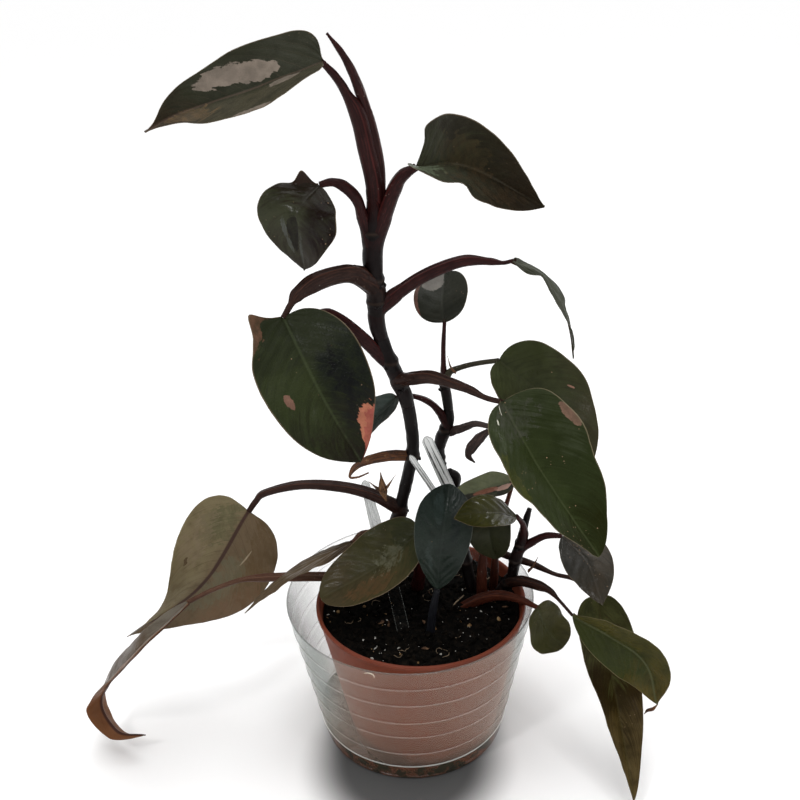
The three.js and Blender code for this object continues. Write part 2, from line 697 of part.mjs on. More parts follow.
    name: 'leaf_15', finish: 'blue', stalk: 'petiole', carriers: [],
    midrib: [[17, -36, 132], [21, -37, 173], [26, -23, 200]],
    face: [-0.2, -0.98, 0.03], twist: 3, width: 36, shoulder: 0.87, point: 0.62,
    fold: 13, cup: 1, lobe: 6, wave: [0.6, 2, 0.5],
    petiole: {
      path: [[11, -36, 86], [12, -36, 98], [14, -36, 116], [17, -36, 132]],
      sizes: [3, 3, 2.6, 1.8], up: [0, -1, 0], groove: 0.3,
    },
  },
  {
    name: 'leaf_16', finish: 'green', stalk: 'petiole', carriers: ['third_stem'],
    midrib: [[68, -16, 171], [47, -40, 190], [27, -54, 195]],
    face: [0.64, -0.76, 0.04], twist: -6, width: 21, shoulder: 0.8, point: 0.83,
    fold: 11, cup: -1, lobe: 3, wave: [0.4, 2, 0.3],
    petiole: { path: [[74, -7, 151], [73, -11, 161], [68, -16, 171]], sizes: [2, 1.9, 1.4], up: [1, 0, 0] },
  },
  {
    name: 'leaf_17', finish: 'green', stalk: 'sheath', carriers: [],
    midrib: [[53, 4, 171], [52, -11, 156], [56, -7, 133]],
    face: [-0.29, -0.67, 0.68], twist: 2, width: 30, shoulder: 0.56, point: 0.76,
    fold: 14, cup: 1, lobe: 6, wave: [0.5, 2, 0.3],
    petiole: {
      path: [[47, -2, 86], [48, -1, 98], [48, 0, 117], [50, 3, 140], [53, 4, 171]],
      sizes: [3.8, 3.8, 3.4, 2.2, 1.4], up: [0, 1, 0], groove: 0.4,
    },
  },
  {
    name: 'leaf_18', finish: 'green', stalk: 'sheath', carriers: ['second_stem', 'third_stem'],
    midrib: [[66, -8, 191], [49, -9, 188], [27, -8, 180]],
    face: [-0.41, -0.22, 0.88], twist: -5, width: 22, shoulder: 0.6, point: 0.68,
    fold: 8, cup: -3, lobe: 5, wave: [0.6, 2, 0.3],
    petiole: {
      path: [[56, 5, 86], [56, 6, 98], [57, 6, 113], [58, 6, 134], [62, 1, 162], [66.3, -7.6, 189.6]],
      sizes: [3, 3, 2.8, 2, 1.6, 1.3], up: [0, 1, 0], groove: 0.4,
    },
  },
  {
    name: 'leaf_19', finish: 'bronze', stalk: 'petiole', carriers: ['third_stem'],
    midrib: [[97, -16, 155], [110, -35, 147], [117, -52, 128]],
    face: [0.1, -0.23, 0.97], twist: 18, width: 33, shoulder: 0.78, point: 0.98,
    fold: 9, cup: -2, lobe: -2, wave: [0.6, 2, 0.5],
    petiole: {
      path: [[73, -5, 139], [81, -8, 147], [88, -12, 153], [97, -16, 155]],
      sizes: [2.4, 2.5, 2.2, 1.6],
    },
  },
  {
    name: 'leaf_20', finish: 'olive', stalk: 'sheath', carriers: ['leaf_17_petiole'],
    midrib: [[80, -34, 114], [88, -34, 94], [97, -41, 88]],
    face: [0.62, -0.74, 0.25], twist: -13, width: 34, shoulder: 0.5, point: 0.45,
    fold: 5, cup: -6, lobe: 5, wave: [0.6, 3, 0.2],
    petiole: {
      path: [[34, -9, 97], [46, -11, 105], [58, -16, 111], [70, -25, 114], [80, -34, 114]],
      sizes: [4, 4.2, 3.8, 2.8, 1.8], flat: 0.8, groove: 0.4,
    },
  },
  {
    name: 'leaf_21', finish: 'green', stalk: 'sheath', carriers: ['third_stem'],
    midrib: [[101, -42, 113], [142, -57, 90], [152, -67, 61]],
    face: [-0.32, -0.95, 0.04], twist: -2, width: 38, shoulder: 0.88, point: 1.11,
    fold: 21, cup: 8, lobe: 3, wave: [0.6, 2, 0.6],
    petiole: {
      path: [[64, -3, 110], [72, -9, 117], [82, -17, 119], [89, -25, 120], [94, -33, 118], [101, -42, 113]],
      sizes: [3.2, 4.2, 4, 2.6, 1.3, 1.2], flat: 0.7, groove: 0.4,
    },
  },
  {
    name: 'leaf_22', finish: 'bronze', stalk: 'petiole', carriers: ['third_stem', 'leaf_18_petiole'],
    midrib: [[121, -16, 108], [132, -34, 50], [135, -94, 9]],
    face: [-0.1, -0.95, 0.28], twist: -36, width: 41, shoulder: 0.34, point: 0.79,
    fold: 23, cup: 9, lobe: 4, wave: [0.8, 3, 0.2],
    petiole: {
      path: [[59, 5, 130], [71, 6, 124], [83, 2, 121], [95, -6, 119], [108, -12, 118], [121, -16, 108]],
      sizes: [2.4, 2.6, 2.2, 1.4, 1.4, 1.3],
    },
  },
];

// ---------------------------------------------------------------- assembly

const solids = new Map(); // finished solid of each node
const cutters = new Map(); // the same pieces grown by GAP, to cut what touches them
const looks = new Map();

function keep(name, solid, material, cutter = null) {
  solids.set(name, solid);
  looks.set(name, material);
  if (cutter) cutters.set(name, cutter);
}

// Cuts a solid by its grown neighbours and clears away the slivers that the cuts leave.
function cutBy(solid, names) {
  const rest = names.reduce((left, name) => left.subtract(cutters.get(name)), solid);
  return withoutSlivers(largestBody(rest));
}

keep('clear_outer_pot', clearPot(), FINISH.clear);
keep('nursery_pot', nurseryPot(), FINISH.terracotta);

for (const [name, spec] of Object.entries(STEMS)) {
  const grown = [limb(spec), limb(spec, GAP)];
  const stub = spec.stub ? { up: [0, -1, 0], step: 5, ...spec.stub } : null;
  const [body, cutter] = stub ? [grown[0].add(limb(stub)), grown[1].add(limb(stub, GAP))] : grown;
  keep(name, withoutSlivers(body), FINISH.stem, cutter);
}

keep('new_leaf_spike', cutBy(limb(SPIKE), ['main_stem']), FINISH.sheath, limb(SPIKE, GAP));

for (const leaf of [...LEAVES].sort((a, b) => a.carriers.length - b.carriers.length)) {
  const stalk = `${leaf.name}_petiole`;
  const petiole = cutBy(limb(leaf.petiole), leaf.carriers);
  keep(stalk, petiole, FINISH[leaf.stalk], limb(leaf.petiole, GAP));
  keep(`${leaf.name}_blade`, cutBy(blade(leaf), [stalk]), FINISH[leaf.finish]);
}

for (const [name, spec] of Object.entries(DRY)) {
  keep(name, cutBy(limb(spec), [spec.carrier]), FINISH.dry, limb(spec, GAP));
}

for (const [name, spec] of Object.entries(STAKES)) {
  const strip = { ...spec, up: [1, 0, 0], flat: STAKE_HALF / spec.sizes[1], step: 14 };
  keep(name, limb(strip), FINISH.clear, limb(strip, GAP));
}

const rooted = [
  ...Object.keys(STEMS), ...Object.keys(STAKES),
  ...['leaf_14', 'leaf_15', 'leaf_17', 'leaf_18', 'leaf_20'].map((name) => `${name}_petiole`),
];
keep('potting_soil', cutBy(soilRaw(), rooted), FINISH.soil);

const plant = new THREE.Group();
for (const name of [...solids.keys()].sort()) {
  plant.add(meshFrom(solids.get(name), name, looks.get(name)));
}

export default plant;
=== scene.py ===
"""Finished look of a pink princess philodendron in its two pots.

The construction model is the fixed frame. Every node of it is replaced here by a finer piece of
the same size in the same place: blades with veins and waved margins, channelled petioles, ringed
stems, pots with hoops and lips, and a potting mix with perlite and bark. Sizes are in millimetres
and become metres only where a vertex is placed.
"""

import logging
import math
import random
from collections.abc import Callable, Iterable, Sequence
from dataclasses import dataclass, replace
from enum import IntEnum

import bmesh
import bpy
from mathutils import Matrix, Vector, noise


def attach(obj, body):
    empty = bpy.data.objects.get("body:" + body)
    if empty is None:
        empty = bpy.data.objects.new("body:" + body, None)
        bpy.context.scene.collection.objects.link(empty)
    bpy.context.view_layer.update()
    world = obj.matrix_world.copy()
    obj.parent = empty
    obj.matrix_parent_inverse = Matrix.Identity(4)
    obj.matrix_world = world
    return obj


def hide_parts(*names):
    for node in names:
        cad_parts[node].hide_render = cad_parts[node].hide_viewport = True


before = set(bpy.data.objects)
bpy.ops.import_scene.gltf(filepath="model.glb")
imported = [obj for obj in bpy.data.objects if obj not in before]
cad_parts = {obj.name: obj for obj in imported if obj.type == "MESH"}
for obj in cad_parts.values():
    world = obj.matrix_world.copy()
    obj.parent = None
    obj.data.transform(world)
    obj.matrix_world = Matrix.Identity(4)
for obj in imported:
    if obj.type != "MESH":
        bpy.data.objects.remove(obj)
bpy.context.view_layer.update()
LOG = logging.getLogger("philodendron")

MM = 0.001  # metres in a millimetre
BODY = "root"

Pair = tuple[float, float]
Point = tuple[float, float, float]
Colour = tuple[float, float, float]
Mesh = bmesh.types.BMesh


# ------------------------ shader building


def joined_by(operation: str) -> Callable[["Signal", "Value"], "Signal"]:
    """Operator that joins a signal to another by a Math node."""
    return lambda signal, other: signal.nodes.math(operation, signal, other)


class Signal:
    """An output of a node, which plain arithmetic joins to others by Math nodes."""

    def __init__(self, nodes: "Nodes", socket: bpy.types.NodeSocket) -> None:
        """Keep the socket and the tree that it is in."""
        self.nodes = nodes
        self.socket = socket

    __add__ = joined_by("ADD")
    __sub__ = joined_by("SUBTRACT")
    __mul__ = joined_by("MULTIPLY")
    __truediv__ = joined_by("DIVIDE")
    __pow__ = joined_by("POWER")

    def __rsub__(self, other: float) -> "Signal":
        """Difference from a plain number."""
        return self.nodes.math("SUBTRACT", other, self)

    def __abs__(self) -> "Signal":
        """Size without its sign."""
        return self.nodes.math("ABSOLUTE", self)


Value = float | Colour | Signal


class Nodes:
    """A node tree, with short calls for the nodes that are used in several places."""

    def __init__(self, tree: bpy.types.NodeTree) -> None:
        """Keep the tree."""
        self.tree = tree

    def put(self, node: bpy.types.Node, key: str | int, value: Value) -> None:
        """Set a node's input to a number or colour, or link a signal to it.

        Args:
            node: The node.
            key: Name or number of the input.
            value: What goes into it.
        """
        if isinstance(value, Signal):
            self.tree.links.new(value.socket, node.inputs[key])
        elif isinstance(value, tuple) and len(node.inputs[key].default_value) == 4:
            node.inputs[key].default_value = (*value, 1.0)
        else:
            node.inputs[key].default_value = value

    def add(
        self, kind: str, inputs: dict[str | int, Value], output: str | int = 0, **settings: object
    ) -> Signal:
        """Add a node.

        Args:
            kind: Blender's name of the node type, without the ShaderNode prefix.
            inputs: Values or signals for its inputs.
            output: The output that is wanted.
            **settings: Properties of the node.

        Returns:
            That output.
        """
        node = self.tree.nodes.new(f"ShaderNode{kind}")
        for key, value in settings.items():
            setattr(node, key, value)
        for key, value in inputs.items():
            self.put(node, key, value)
        return Signal(self, node.outputs[output])

    def place(self) -> Signal:
        """Object coordinates, in metres."""
        return self.add("TexCoord", {}, output="Object")

    def axis(self, vector: Signal, name: str) -> Signal:
        """One coordinate of a vector: X, Y or Z."""
        return self.add("SeparateXYZ", {0: vector}, output=name)

    def plane(self, x: Value, y: Value) -> Signal:
        """Vector of two coordinates."""
        return self.add("CombineXYZ", {"X": x, "Y": y})

    def reach(self, vector: Signal) -> Signal:
        """Length of a vector."""
        return self.add("VectorMath", {0: vector}, output="Value", operation="LENGTH")

    def layer(self, name: str) -> Signal:
        """Value of a number that is kept on the piece's own vertices."""
        return self.add("Attribute", {}, output="Fac", attribute_name=name)

    def math(self, operation: str, *values: Value) -> Signal:
        """Result of a Math node."""
        return self.add("Math", dict(enumerate(values)), operation=operation)

    def rise(self, value: Value, low: float, high: float, start: float = 0.0, end: float = 1.0) -> Signal:
        """Smooth step of a value from start at low to end at high."""
        keys = {"Value": value, "From Min": low, "From Max": high, "To Min": start, "To Max": end}
        return self.add("MapRange", keys, interpolation_type="SMOOTHSTEP")

    def blend(self, factor: Value, low: Value, high: Value) -> Signal:
        """Mix of two colours."""
        return self.add("Mix", {0: factor, 6: low, 7: high}, output=2, data_type="RGBA")

    def drawn_out(self, vector: Signal, height: float) -> Signal:
        """Vector whose upright coordinate is multiplied, which draws a pattern out in height."""
        return self.add("Mapping", {"Vector": vector, "Scale": (1.0, 1.0, height)})

    def noise(self, vector: Signal, scale: float, detail: float = 3.0, rough: float = 0.5) -> Signal:
        """Noise from 0 to 1."""
        return self.add("TexNoise", {"Vector": vector, "Scale": scale, "Detail": detail, "Roughness": rough})

    def cells(self, vector: Signal, scale: float, feature: str = "F1") -> Signal:
        """Distance in a Voronoi pattern."""
        keys = {"Vector": vector, "Scale": scale}
        return self.add("TexVoronoi", keys, output="Distance", feature=feature)


class Shader(Nodes):
    """The nodes of a material with a Principled surface."""

    def __init__(self, name: str) -> None:
        """Start a material that has only its surface.

        Args:
            name: Name of the material.
        """
        self.material = bpy.data.materials.new(name)
        self.material.use_nodes = True
        super().__init__(self.material.node_tree)
        self.tree.nodes.clear()
        self.surface = self.tree.nodes.new("ShaderNodeBsdfPrincipled")
        output = self.tree.nodes.new("ShaderNodeOutputMaterial")
        self.tree.links.new(self.surface.outputs["BSDF"], output.inputs["Surface"])

    def relief(self, height: Signal, strength: float, distance: float) -> None:
        """Bump the surface by a height, in metres at full strength."""
        keys = {"Height": height, "Strength": strength, "Distance": distance}
        self.put(self.surface, "Normal", self.add("Bump", keys))

    def dress(self, **inputs: Value) -> bpy.types.Material:
        """Set the surface's inputs, with underscores for the spaces in their names.

        Args:
            **inputs: Values or signals, such as Base_Color and Roughness.

        Returns:
            The finished material.
        """
        for key, value in inputs.items():
            self.put(self.surface, key.replace("_", " "), value)
        return self.material


def toned(colour: Colour, factor: float) -> Colour:
    """A colour made darker or lighter."""
    return tuple(min(1.0, factor * part) for part in colour)


# ------------------------ curves and frames


def even_shares(steps: int) -> list[float]:
    """Numbers from 0 to 1 in even steps."""
    return [k / steps for k in range(steps + 1)]


class Line:
    """A smooth line through given points, in millimetres."""

    def __init__(self, points: Sequence[Point]) -> None:
        """Keep the points, with one more past each end.

        Args:
            points: The points that the line goes through.
        """
        inner = [Vector(p) for p in points]
        self.points = [2 * inner[0] - inner[1], *inner, 2 * inner[-1] - inner[-2]]
        self.spans = len(inner) - 1

    def at(self, t: float) -> Vector:
        """Point of the line.

        Args:
            t: Place along it, from 0 to 1.

        Returns:
            The point, in millimetres.
        """
        place = min(max(t, 0.0), 1.0) * self.spans
        span = min(int(place), self.spans - 1)
        f = place - span
        before, start, end, after = self.points[span : span + 4]
        leave = (end - before) / 2
        arrive = (after - start) / 2
        cubic = (2 * start - 2 * end + leave + arrive) * f**3
        square = (3 * end - 3 * start - 2 * leave - arrive) * f**2
        return cubic + square + leave * f + start

    def tangent(self, t: float) -> Vector:
        """Direction at t."""
        step = 1e-3
        return (self.at(t + step) - self.at(t - step)).normalized()

    def length(self) -> float:
        """Length of the line."""
        stops = [self.at(share) for share in even_shares(40 * self.spans)]
        return sum((b - a).length for a, b in zip(stops, stops[1:]))

    def where_least(self, measure: Callable[[Vector], float]) -> float:
        """Place, from 0 to 1, whose point has the least measure."""
        return min(even_shares(200), key=lambda t: measure(self.at(t)))


@dataclass(frozen=True)
class Station:
    """A place on a line with its frame."""

    t: float
    origin: Vector
    tangent: Vector
    normal: Vector
    side: Vector


def stations_along(line: Line, up: Point, places: Iterable[float]) -> list[Station]:
    """Frames along a line that turn no more than the line does.

    Args:
        line: The line.
        up: Direction that the first frame's normal starts from.
        places: Where the frames stand, from 0 to 1.

    Returns:
        One station for each place.
    """
    normal = Vector(up)
    stations = []
    for t in places:
        tangent = line.tangent(t)
        normal = (normal - tangent * normal.dot(tangent)).normalized()
        stations.append(Station(t, line.at(t), tangent, normal, tangent.cross(normal)))
    return stations


def between(values: Sequence[float], t: float) -> float:
    """Value at t of a list of numbers spaced evenly from 0 to 1, joined smoothly.

    Args:
        values: The numbers.
        t: Place, from 0 to 1.

    Returns:
        The value there.
    """
    place = min(max(t, 0.0), 1.0) * (len(values) - 1)
    low = min(int(place), len(values) - 2)
    f = place - low
    return values[low] + (values[low + 1] - values[low]) * f * f * (3 - 2 * f)


def ease(share: float) -> float:
    """Smooth step, which stays 0 below 0 and 1 above 1."""
    share = min(max(share, 0.0), 1.0)
    return share * share * (3 - 2 * share)


def bell(value: float, middle: float, width: float) -> float:
    """Bell curve that is 1 at the middle."""
    return math.exp(-(((value - middle) / width) ** 2))


# ------------------------ meshes and pieces


def new_piece(name: str, bm: Mesh, material: str, smooth: bool = True) -> bpy.types.Object:
    """Turn a finished bmesh into an object of the scene.

    Args:
        name: Name of the piece.
        bm: Its mesh, in metres, which is freed.
        material: Name of its material.
        smooth: Whether its faces are shaded smooth.

    Returns:
        The new object, at the origin.
    """
    bmesh.ops.recalc_face_normals(bm, faces=bm.faces[:])
    for face in bm.faces:
        face.smooth = smooth
    mesh = bpy.data.meshes.new(name)
    bm.to_mesh(mesh)
    bm.free()
    mesh.materials.append(bpy.data.materials[material])
    piece = bpy.data.objects.new(name, mesh)
    bpy.context.scene.collection.objects.link(piece)
    return piece


def settle(piece: bpy.types.Object, node: str, stands_for: bool = True) -> None:
    """Let a piece ride with the plant, and hide the node that it stands for.

    Args:
        piece: The piece.
        node: The node that it belongs with.
        stands_for: Whether it stands for that node, which is then hidden.
    """
    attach(piece, BODY)
    if stands_for:
        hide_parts(node)


def lathe(profile: Sequence[Pair], axis: Pair, sides: int) -> Mesh:
    """Spin a closed outline round an upright axis.

    Args:
        profile: Radius and height of each point, in order round the outline.
        axis: Where the axis stands.
        sides: Number of steps of the spin.

    Returns:
        The closed mesh, in metres.
    """
    bm = bmesh.new()
    x, y = axis
    corners = [bm.verts.new(((x + radius) * MM, y * MM, height * MM)) for radius, height in profile]
    edges = [bm.edges.new((a, b)) for a, b in zip(corners, corners[1:])]
    if profile[0][0] > 0:
        edges.append(bm.edges.new((corners[-1], corners[0])))
    bmesh.ops.spin(
        bm, geom=[*corners, *edges], cent=(x * MM, y * MM, 0.0), axis=(0.0, 0.0, 1.0),
        angle=2 * math.pi, steps=sides, use_merge=True,
    )
    bmesh.ops.remove_doubles(bm, verts=bm.verts[:], dist=1e-6)
    return bm


def add_mesh(bm: Mesh, other: Mesh) -> None:
    """Add one bmesh to another, with its layers, and free it.

    Args:
        bm: Mesh that takes the other.
        other: Mesh that is added.
    """
    mesh = bpy.data.meshes.new("part")
    other.to_mesh(mesh)
    other.free()
    bm.from_mesh(mesh)
    bpy.data.meshes.remove(mesh)


def add_lump(bm: Mesh, place: Vector, size: Point, turn: Matrix, detail: int, rough: float) -> None:
    """Add a small uneven lump.

    Args:
        bm: Mesh that takes the lump.
        place: Its middle.
        size: Its half lengths along its own three axes.
        turn: How it is turned.
        detail: Subdivisions of the icosphere it starts from.
        rough: Share of its size by which its corners are moved.
    """
    made = bmesh.ops.create_icosphere(bm, subdivisions=detail, radius=1.0)
    for vert in made["verts"]:
        push = 1.0 + rough * noise.noise(vert.co * 1.7 + place)
        local = Vector((vert.co.x * size[0], vert.co.y * size[1], vert.co.z * size[2])) * push
        vert.co = (place + turn @ local) * MM


def random_turn(draw: random.Random) -> Matrix:
    """A turn about a random direction."""
    axis = Vector((draw.uniform(-1, 1), draw.uniform(-1, 1), draw.uniform(-1, 1))).normalized()
    return Matrix.Rotation(draw.uniform(0, 2 * math.pi), 3, axis)


# ------------------------ limbs: stems, petioles, strips

Section = Callable[[float, float], Pair]

CHANNEL_HALF = math.radians(58)  # from the middle of a petiole's channel to its lip
CHANNEL_DEPTH = 1.9  # depth of a channel at the foot, over its limb's groove
WING_RUN = 0.12  # share of a petiole over which its sheath runs out


@dataclass(frozen=True)
class Limb:
    """A stem, petiole or strip along a smooth line.

    `sizes` are its half heights, evenly spaced along it, `flat` is its half width over its half
    height, and `groove` is the depth of the channel on its upper side at the foot. `wing` is how
    far its upper side reaches out as a sheath, as a share of its half height, up to `wing_end`.
    """

    path: tuple[Point, ...]
    sizes: tuple[float, ...]
    up: Point = (0, 0, 1)
    flat: float = 1.0
    groove: float = 0.0
    wing: float = 0.0
    wing_end: float = 0.68

    def section(self, t: float, angle: float) -> Pair:
        """Point of the skin, with its channel and its sheath.

        Args:
            t: Place along the limb.
            angle: Angle round it.

        Returns:
            Distance across and height.
        """
        high = between(self.sizes, t)
        off = abs(math.remainder(angle - math.pi / 2, 2 * math.pi)) / CHANNEL_HALF
        dip = 0.0
        if off < 1 and self.groove > 0:
            dip = CHANNEL_DEPTH * self.groove * (1 - t) ** 0.6 * math.cos(off * math.pi / 2) ** 1.5
        reach = 1 - dip
        if self.wing > 0 and math.sin(angle) > 0:
            reach += self.wing * ease((self.wing_end - t) / WING_RUN)
        return math.cos(angle) * high * self.flat, math.sin(angle) * high * reach

    def build(self, around: int = 26, step: float = 1.5, section: Section | None = None) -> Mesh:
        """Make the limb's closed skin.

        Args:
            around: Number of sides.
            step: Distance between its rings.
            section: Shape of its rings, or None for the limb's own.

        Returns:
            The mesh, in metres, with the layers `along` and `around`.
        """
        shape = section or self.section
        line = Line(self.path)
        length = line.length()
        rows = max(6, round(length / step))
        stations = stations_along(line, self.up, even_shares(rows))
        bm = bmesh.new()
        bmesh.ops.create_grid(bm, x_segments=rows, y_segments=around, size=1.0)
        along = bm.verts.layers.float.new("along")
        turn = bm.verts.layers.float.new("around")
        for vert in bm.verts:
            station = stations[round((vert.co.x + 1) / 2 * rows)]
            share = (vert.co.y + 1) / 2
            angle = 2 * math.pi * share - math.pi / 2
            across, rise = shape(station.t, angle)
            vert[along] = station.t
            vert[turn] = share
            place = station.origin - station.side * across + station.normal * rise
            vert.co = place * MM
        bmesh.ops.remove_doubles(bm, verts=bm.verts[:], dist=1e-6)
        bmesh.ops.holes_fill(bm, edges=[edge for edge in bm.edges if edge.is_boundary], sides=0)
        return bm


# ------------------------ finishes


class Tone:
    """Colours that have a name of their own, or that several finishes share."""

    BARK_BLACK = (0.0042, 0.0024, 0.0025)
    RING_TAN = (0.026, 0.016, 0.012)
    MAROON = (0.018, 0.0036, 0.0034)
    MAROON_LIGHT = (0.066, 0.0125, 0.0105)
    DRY_BROWN = (0.19, 0.062, 0.013)
    DRY_DARK = (0.022, 0.009, 0.0045)
    GREY_PINK = (0.15, 0.122, 0.098)
    STALK_SPECK = (0.3, 0.26, 0.22)
    LEAF_FLECK = (0.42, 0.27, 0.17)
    RIB_BELOW = (0.04, 0.018, 0.014)
    # pale bluish sheen painted on the upper side of some blades
    PAINTED_SHEEN_BLUE = (0.045, 0.058, 0.056)
    GRIME_RUST = (0.17, 0.06, 0.03)
    GRIME_GREEN = (0.012, 0.014, 0.005)
    # browner tint low on the clear pot's wall
    LOW_WALL_BROWN = (0.165, 0.125, 0.07)
    # pale line painted as a highlight along each hoop of the clear pot
    HOOP_PAINTED_HIGHLIGHT = (0.78, 0.78, 0.74)
    BRIM_GREY = (0.16, 0.17, 0.16)
    # stripes painted as reflections along the clear stakes
    PAINTED_REFLECTION_DARK = (0.012, 0.014, 0.013)
    PAINTED_REFLECTION_BRIGHT = (0.95, 0.96, 0.95)
    # darker red painted as shade on the nursery pot's lip
    LIP_PAINTED_SHADE = (0.115, 0.021, 0.009)


@dataclass(frozen=True)
class StalkFinish:
    """Satin skin of a stem, petiole or sheath, with streaks along it.

    A stem has the colour `ring` at its nodes. A petiole has none, but a highlight painted along each
    of the two lips of its channel, `lip_at` of its girth from the middle of its upper side, and a dark
    clasping foot.
    """

    name: str
    body: Colour
    light: Colour
    gloss: float = 0.36
    ring: Colour | None = None
    lip_at: float = 0.155

    def channel(self, shader: Shader, along: Signal, around: Signal, colour: Signal) -> Signal:
        """Draw a petiole's channel and foot over its colour.

        Args:
            shader: The material under way.
            along: Place along the petiole.
            around: Place round it, 0.5 in the middle of its upper side.
            colour: Its colour so far.

        Returns:
            The colour with the highlights painted along the lips and the dark foot.
        """
        off = abs(abs(around - 0.5) - self.lip_at)
        # a highlight painted along each lip of the channel
        lip = shader.rise(off, 0.022, 0.004) * shader.rise(along, 1.0, 0.3, start=0.1, end=0.8)
        colour = shader.blend(lip * 0.6, colour, toned(self.light, 1.3))
        clasping = shader.rise(shader.layer("foot"), 0.1, 0.8, end=0.92)
        return shader.blend(clasping, colour, Tone.BARK_BLACK)

    def material(self) -> None:
        """Build the material."""
        shader = Shader(self.name)
        place, along, around = shader.place(), shader.layer("along"), shader.layer("around")
        strip = shader.plane(along * 3.0, around * 14.0)
        streak = shader.rise(shader.noise(strip, scale=3.0, rough=0.6), 0.45, 0.7)
        mottle = shader.rise(shader.noise(place, scale=95.0, detail=4.0, rough=0.6), 0.4, 0.72)
        colour = shader.blend(streak * 0.6, self.body, self.light)
        colour = shader.blend(mottle * 0.55, colour, toned(self.body, 0.45))
        if self.ring is not None:
            colour = shader.blend(shader.layer("ring"), colour, self.ring)
        else:
            colour = self.channel(shader, along, around, colour)
        specks = shader.rise(shader.cells(place, scale=420.0), 0.16, 0.08)
        rare = shader.rise(shader.noise(place, scale=60.0, detail=1.0), 0.55, 0.68)
        colour = shader.blend(specks * (rare * 0.5), colour, Tone.STALK_SPECK)
        rough = shader.rise(mottle, 0.0, 1.0, start=self.gloss, end=self.gloss + 0.16)
        height = shader.noise(strip, scale=9.0) + shader.noise(place, scale=700.0, detail=2.0)
        shader.relief(height, strength=0.35, distance=0.0004)
        shader.dress(Base_Color=colour, Roughness=rough, Specular_IOR_Level=0.11)


@dataclass(frozen=True)
class Patch:
    """A patch of another colour on a blade: an ellipse along and across it, with a ragged edge.

    `turn` is in degrees, `cover` is how much of the leaf's own colour it hides, and `streaks` is
    how far that falls along thin streaks.
    """

    colour: Colour
    middle: Pair
    radii: Pair
    turn: float = 0.0
    ragged: float = 0.2
    cover: float = 0.92
    streaks: float = 0.35


class Half(IntEnum):
    """A half of a blade, named as it is seen from above with the tip ahead."""

    LEFT = -1
    BOTH = 0
    RIGHT = 1


@dataclass(frozen=True)
class LeafLook:
    """Colours and gloss of a blade.

    `flank` is the colour towards the margins, or of the half `flank_on` where that names one;
    such a half's colour is partly the leaf's own tone and partly shade painted on that half.
    `base` and `tip` are the colours near the petiole and the tip, `under` is the lower side's and
    `under_flank` is that half's below. `painted_sheen` is the share of a pale bluish sheen painted
    on the upper side, and `patches` and `under_patches` lie on the upper and the lower side.
    """

    body: Colour
    flank: Colour
    tip: Colour
    vein: Colour
    base: Colour | None = None
    under: Colour = (0.06, 0.045, 0.028)
    under_flank: Colour | None = None
    gloss: float = 0.34
    shine: float = 0.1
    flank_on: Half = Half.BOTH
    veins: float = 0.3
    # share of a pale bluish sheen painted on the upper side
    painted_sheen: float = 0.0
    flecks: float = 0.25
    rim: Colour = (0.16, 0.12, 0.075)
    patches: tuple[Patch, ...] = ()
    under_patches: tuple[Patch, ...] = ()


